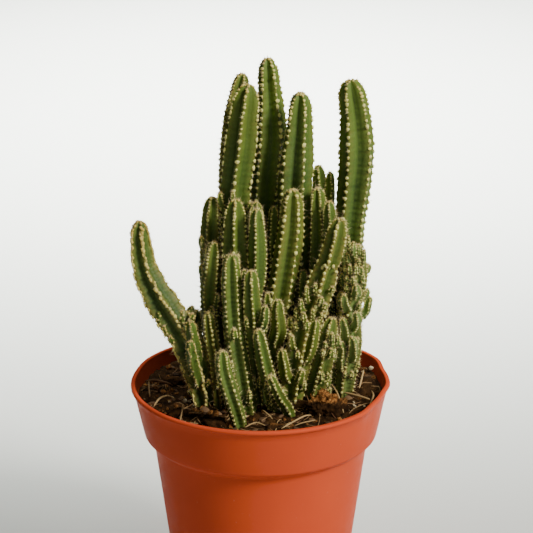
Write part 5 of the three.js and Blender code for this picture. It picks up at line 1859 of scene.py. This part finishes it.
def area_light(name, place, aim, size, power, tone):
    """Soft square light that looks at a point."""
    data = bpy.data.lights.new(name, "AREA")
    data.shape = "SQUARE"
    data.size = size
    data.energy = power
    data.color = tone
    place = Vector(place)
    placed(data, place, (Vector(aim) - place).to_track_quat("-Z", "Y").to_matrix().to_4x4())
    return data


def place_lights():
    """Key light from the right and front, a weak one from the front, one above the floor and the sky."""
    area_light("key", KEY_PLACE, PLANT_MIDDLE, KEY_SIZE, KEY_POWER, KEY_TONE)
    area_light("fill", FILL_PLACE, PLANT_MIDDLE, FILL_SIZE, FILL_POWER, FILL_TONE)
    behind = (BACKDROP_PLACE, BACKDROP_AIM, BACKDROP_SIZE, BACKDROP_POWER, BACKDROP_TONE)
    backdrop = area_light("backdrop", *behind)
    backdrop.spread = BACKDROP_SPREAD
    world = bpy.data.worlds.new("sky")
    world.use_nodes = True
    sky = world.node_tree.nodes["Background"]
    sky.inputs["Color"].default_value = SKY_TONE
    sky.inputs["Strength"].default_value = SKY_STRENGTH
    bpy.context.scene.world = world


def place_floor():
    """Plain pale floor that reaches past the top of the picture."""
    s = Shader("floor", 0.85)
    s.paint(s.mix(s.noise(FLOOR_CLOUD, 1.0), *FLOOR_TONES))
    corners = [(x * FLOOR_REACH, y * FLOOR_REACH, 0) for x, y in ((-1, -1), (1, -1), (1, 1), (-1, 1))]
    floor = make_object("floor", s.material, corners, [(0, 1, 2, 3)])


place_camera()
place_lights()
place_floor()
MATERIALS = {
    "skin": skin_material(),
    "wool": wool_material(),
    "straw": straw_material(),
    "pot": pot_material(),
    "mix": mix_material(),
    "clod": clod_material(),
    "grit": loose_material("grit", GRIT_GREY, GRIT_WHITE, 0.8),
    "bark": loose_material("bark", BARK_DARK, BARK_BROWN, 0.9),
    "fibre": loose_material("fibre", ROOT_BROWN, ROOT_TAN, 0.8),
}
BALL, BALL_FACES = ball(1)
CORE, CORE_FACES = ball(0)
LUMP, LUMP_FACES = lump()
FANS = spine_fans()
dress_pot()
dress_mix()
dress_clods()
lumps("crumbs", "clod", count=330, sizes=(0.5, 1.7), flatness=0.8, inner=0.2)
lumps("bark_chips", "bark", count=120, sizes=(0.9, 2.6), flatness=0.34, inner=0.3)
lumps("grit", "grit", count=46, sizes=(0.35, 0.8), flatness=0.85, inner=0.4, extra=GRAINS)
dress_fibres()
dress_stems()

bpy.context.view_layer.update()
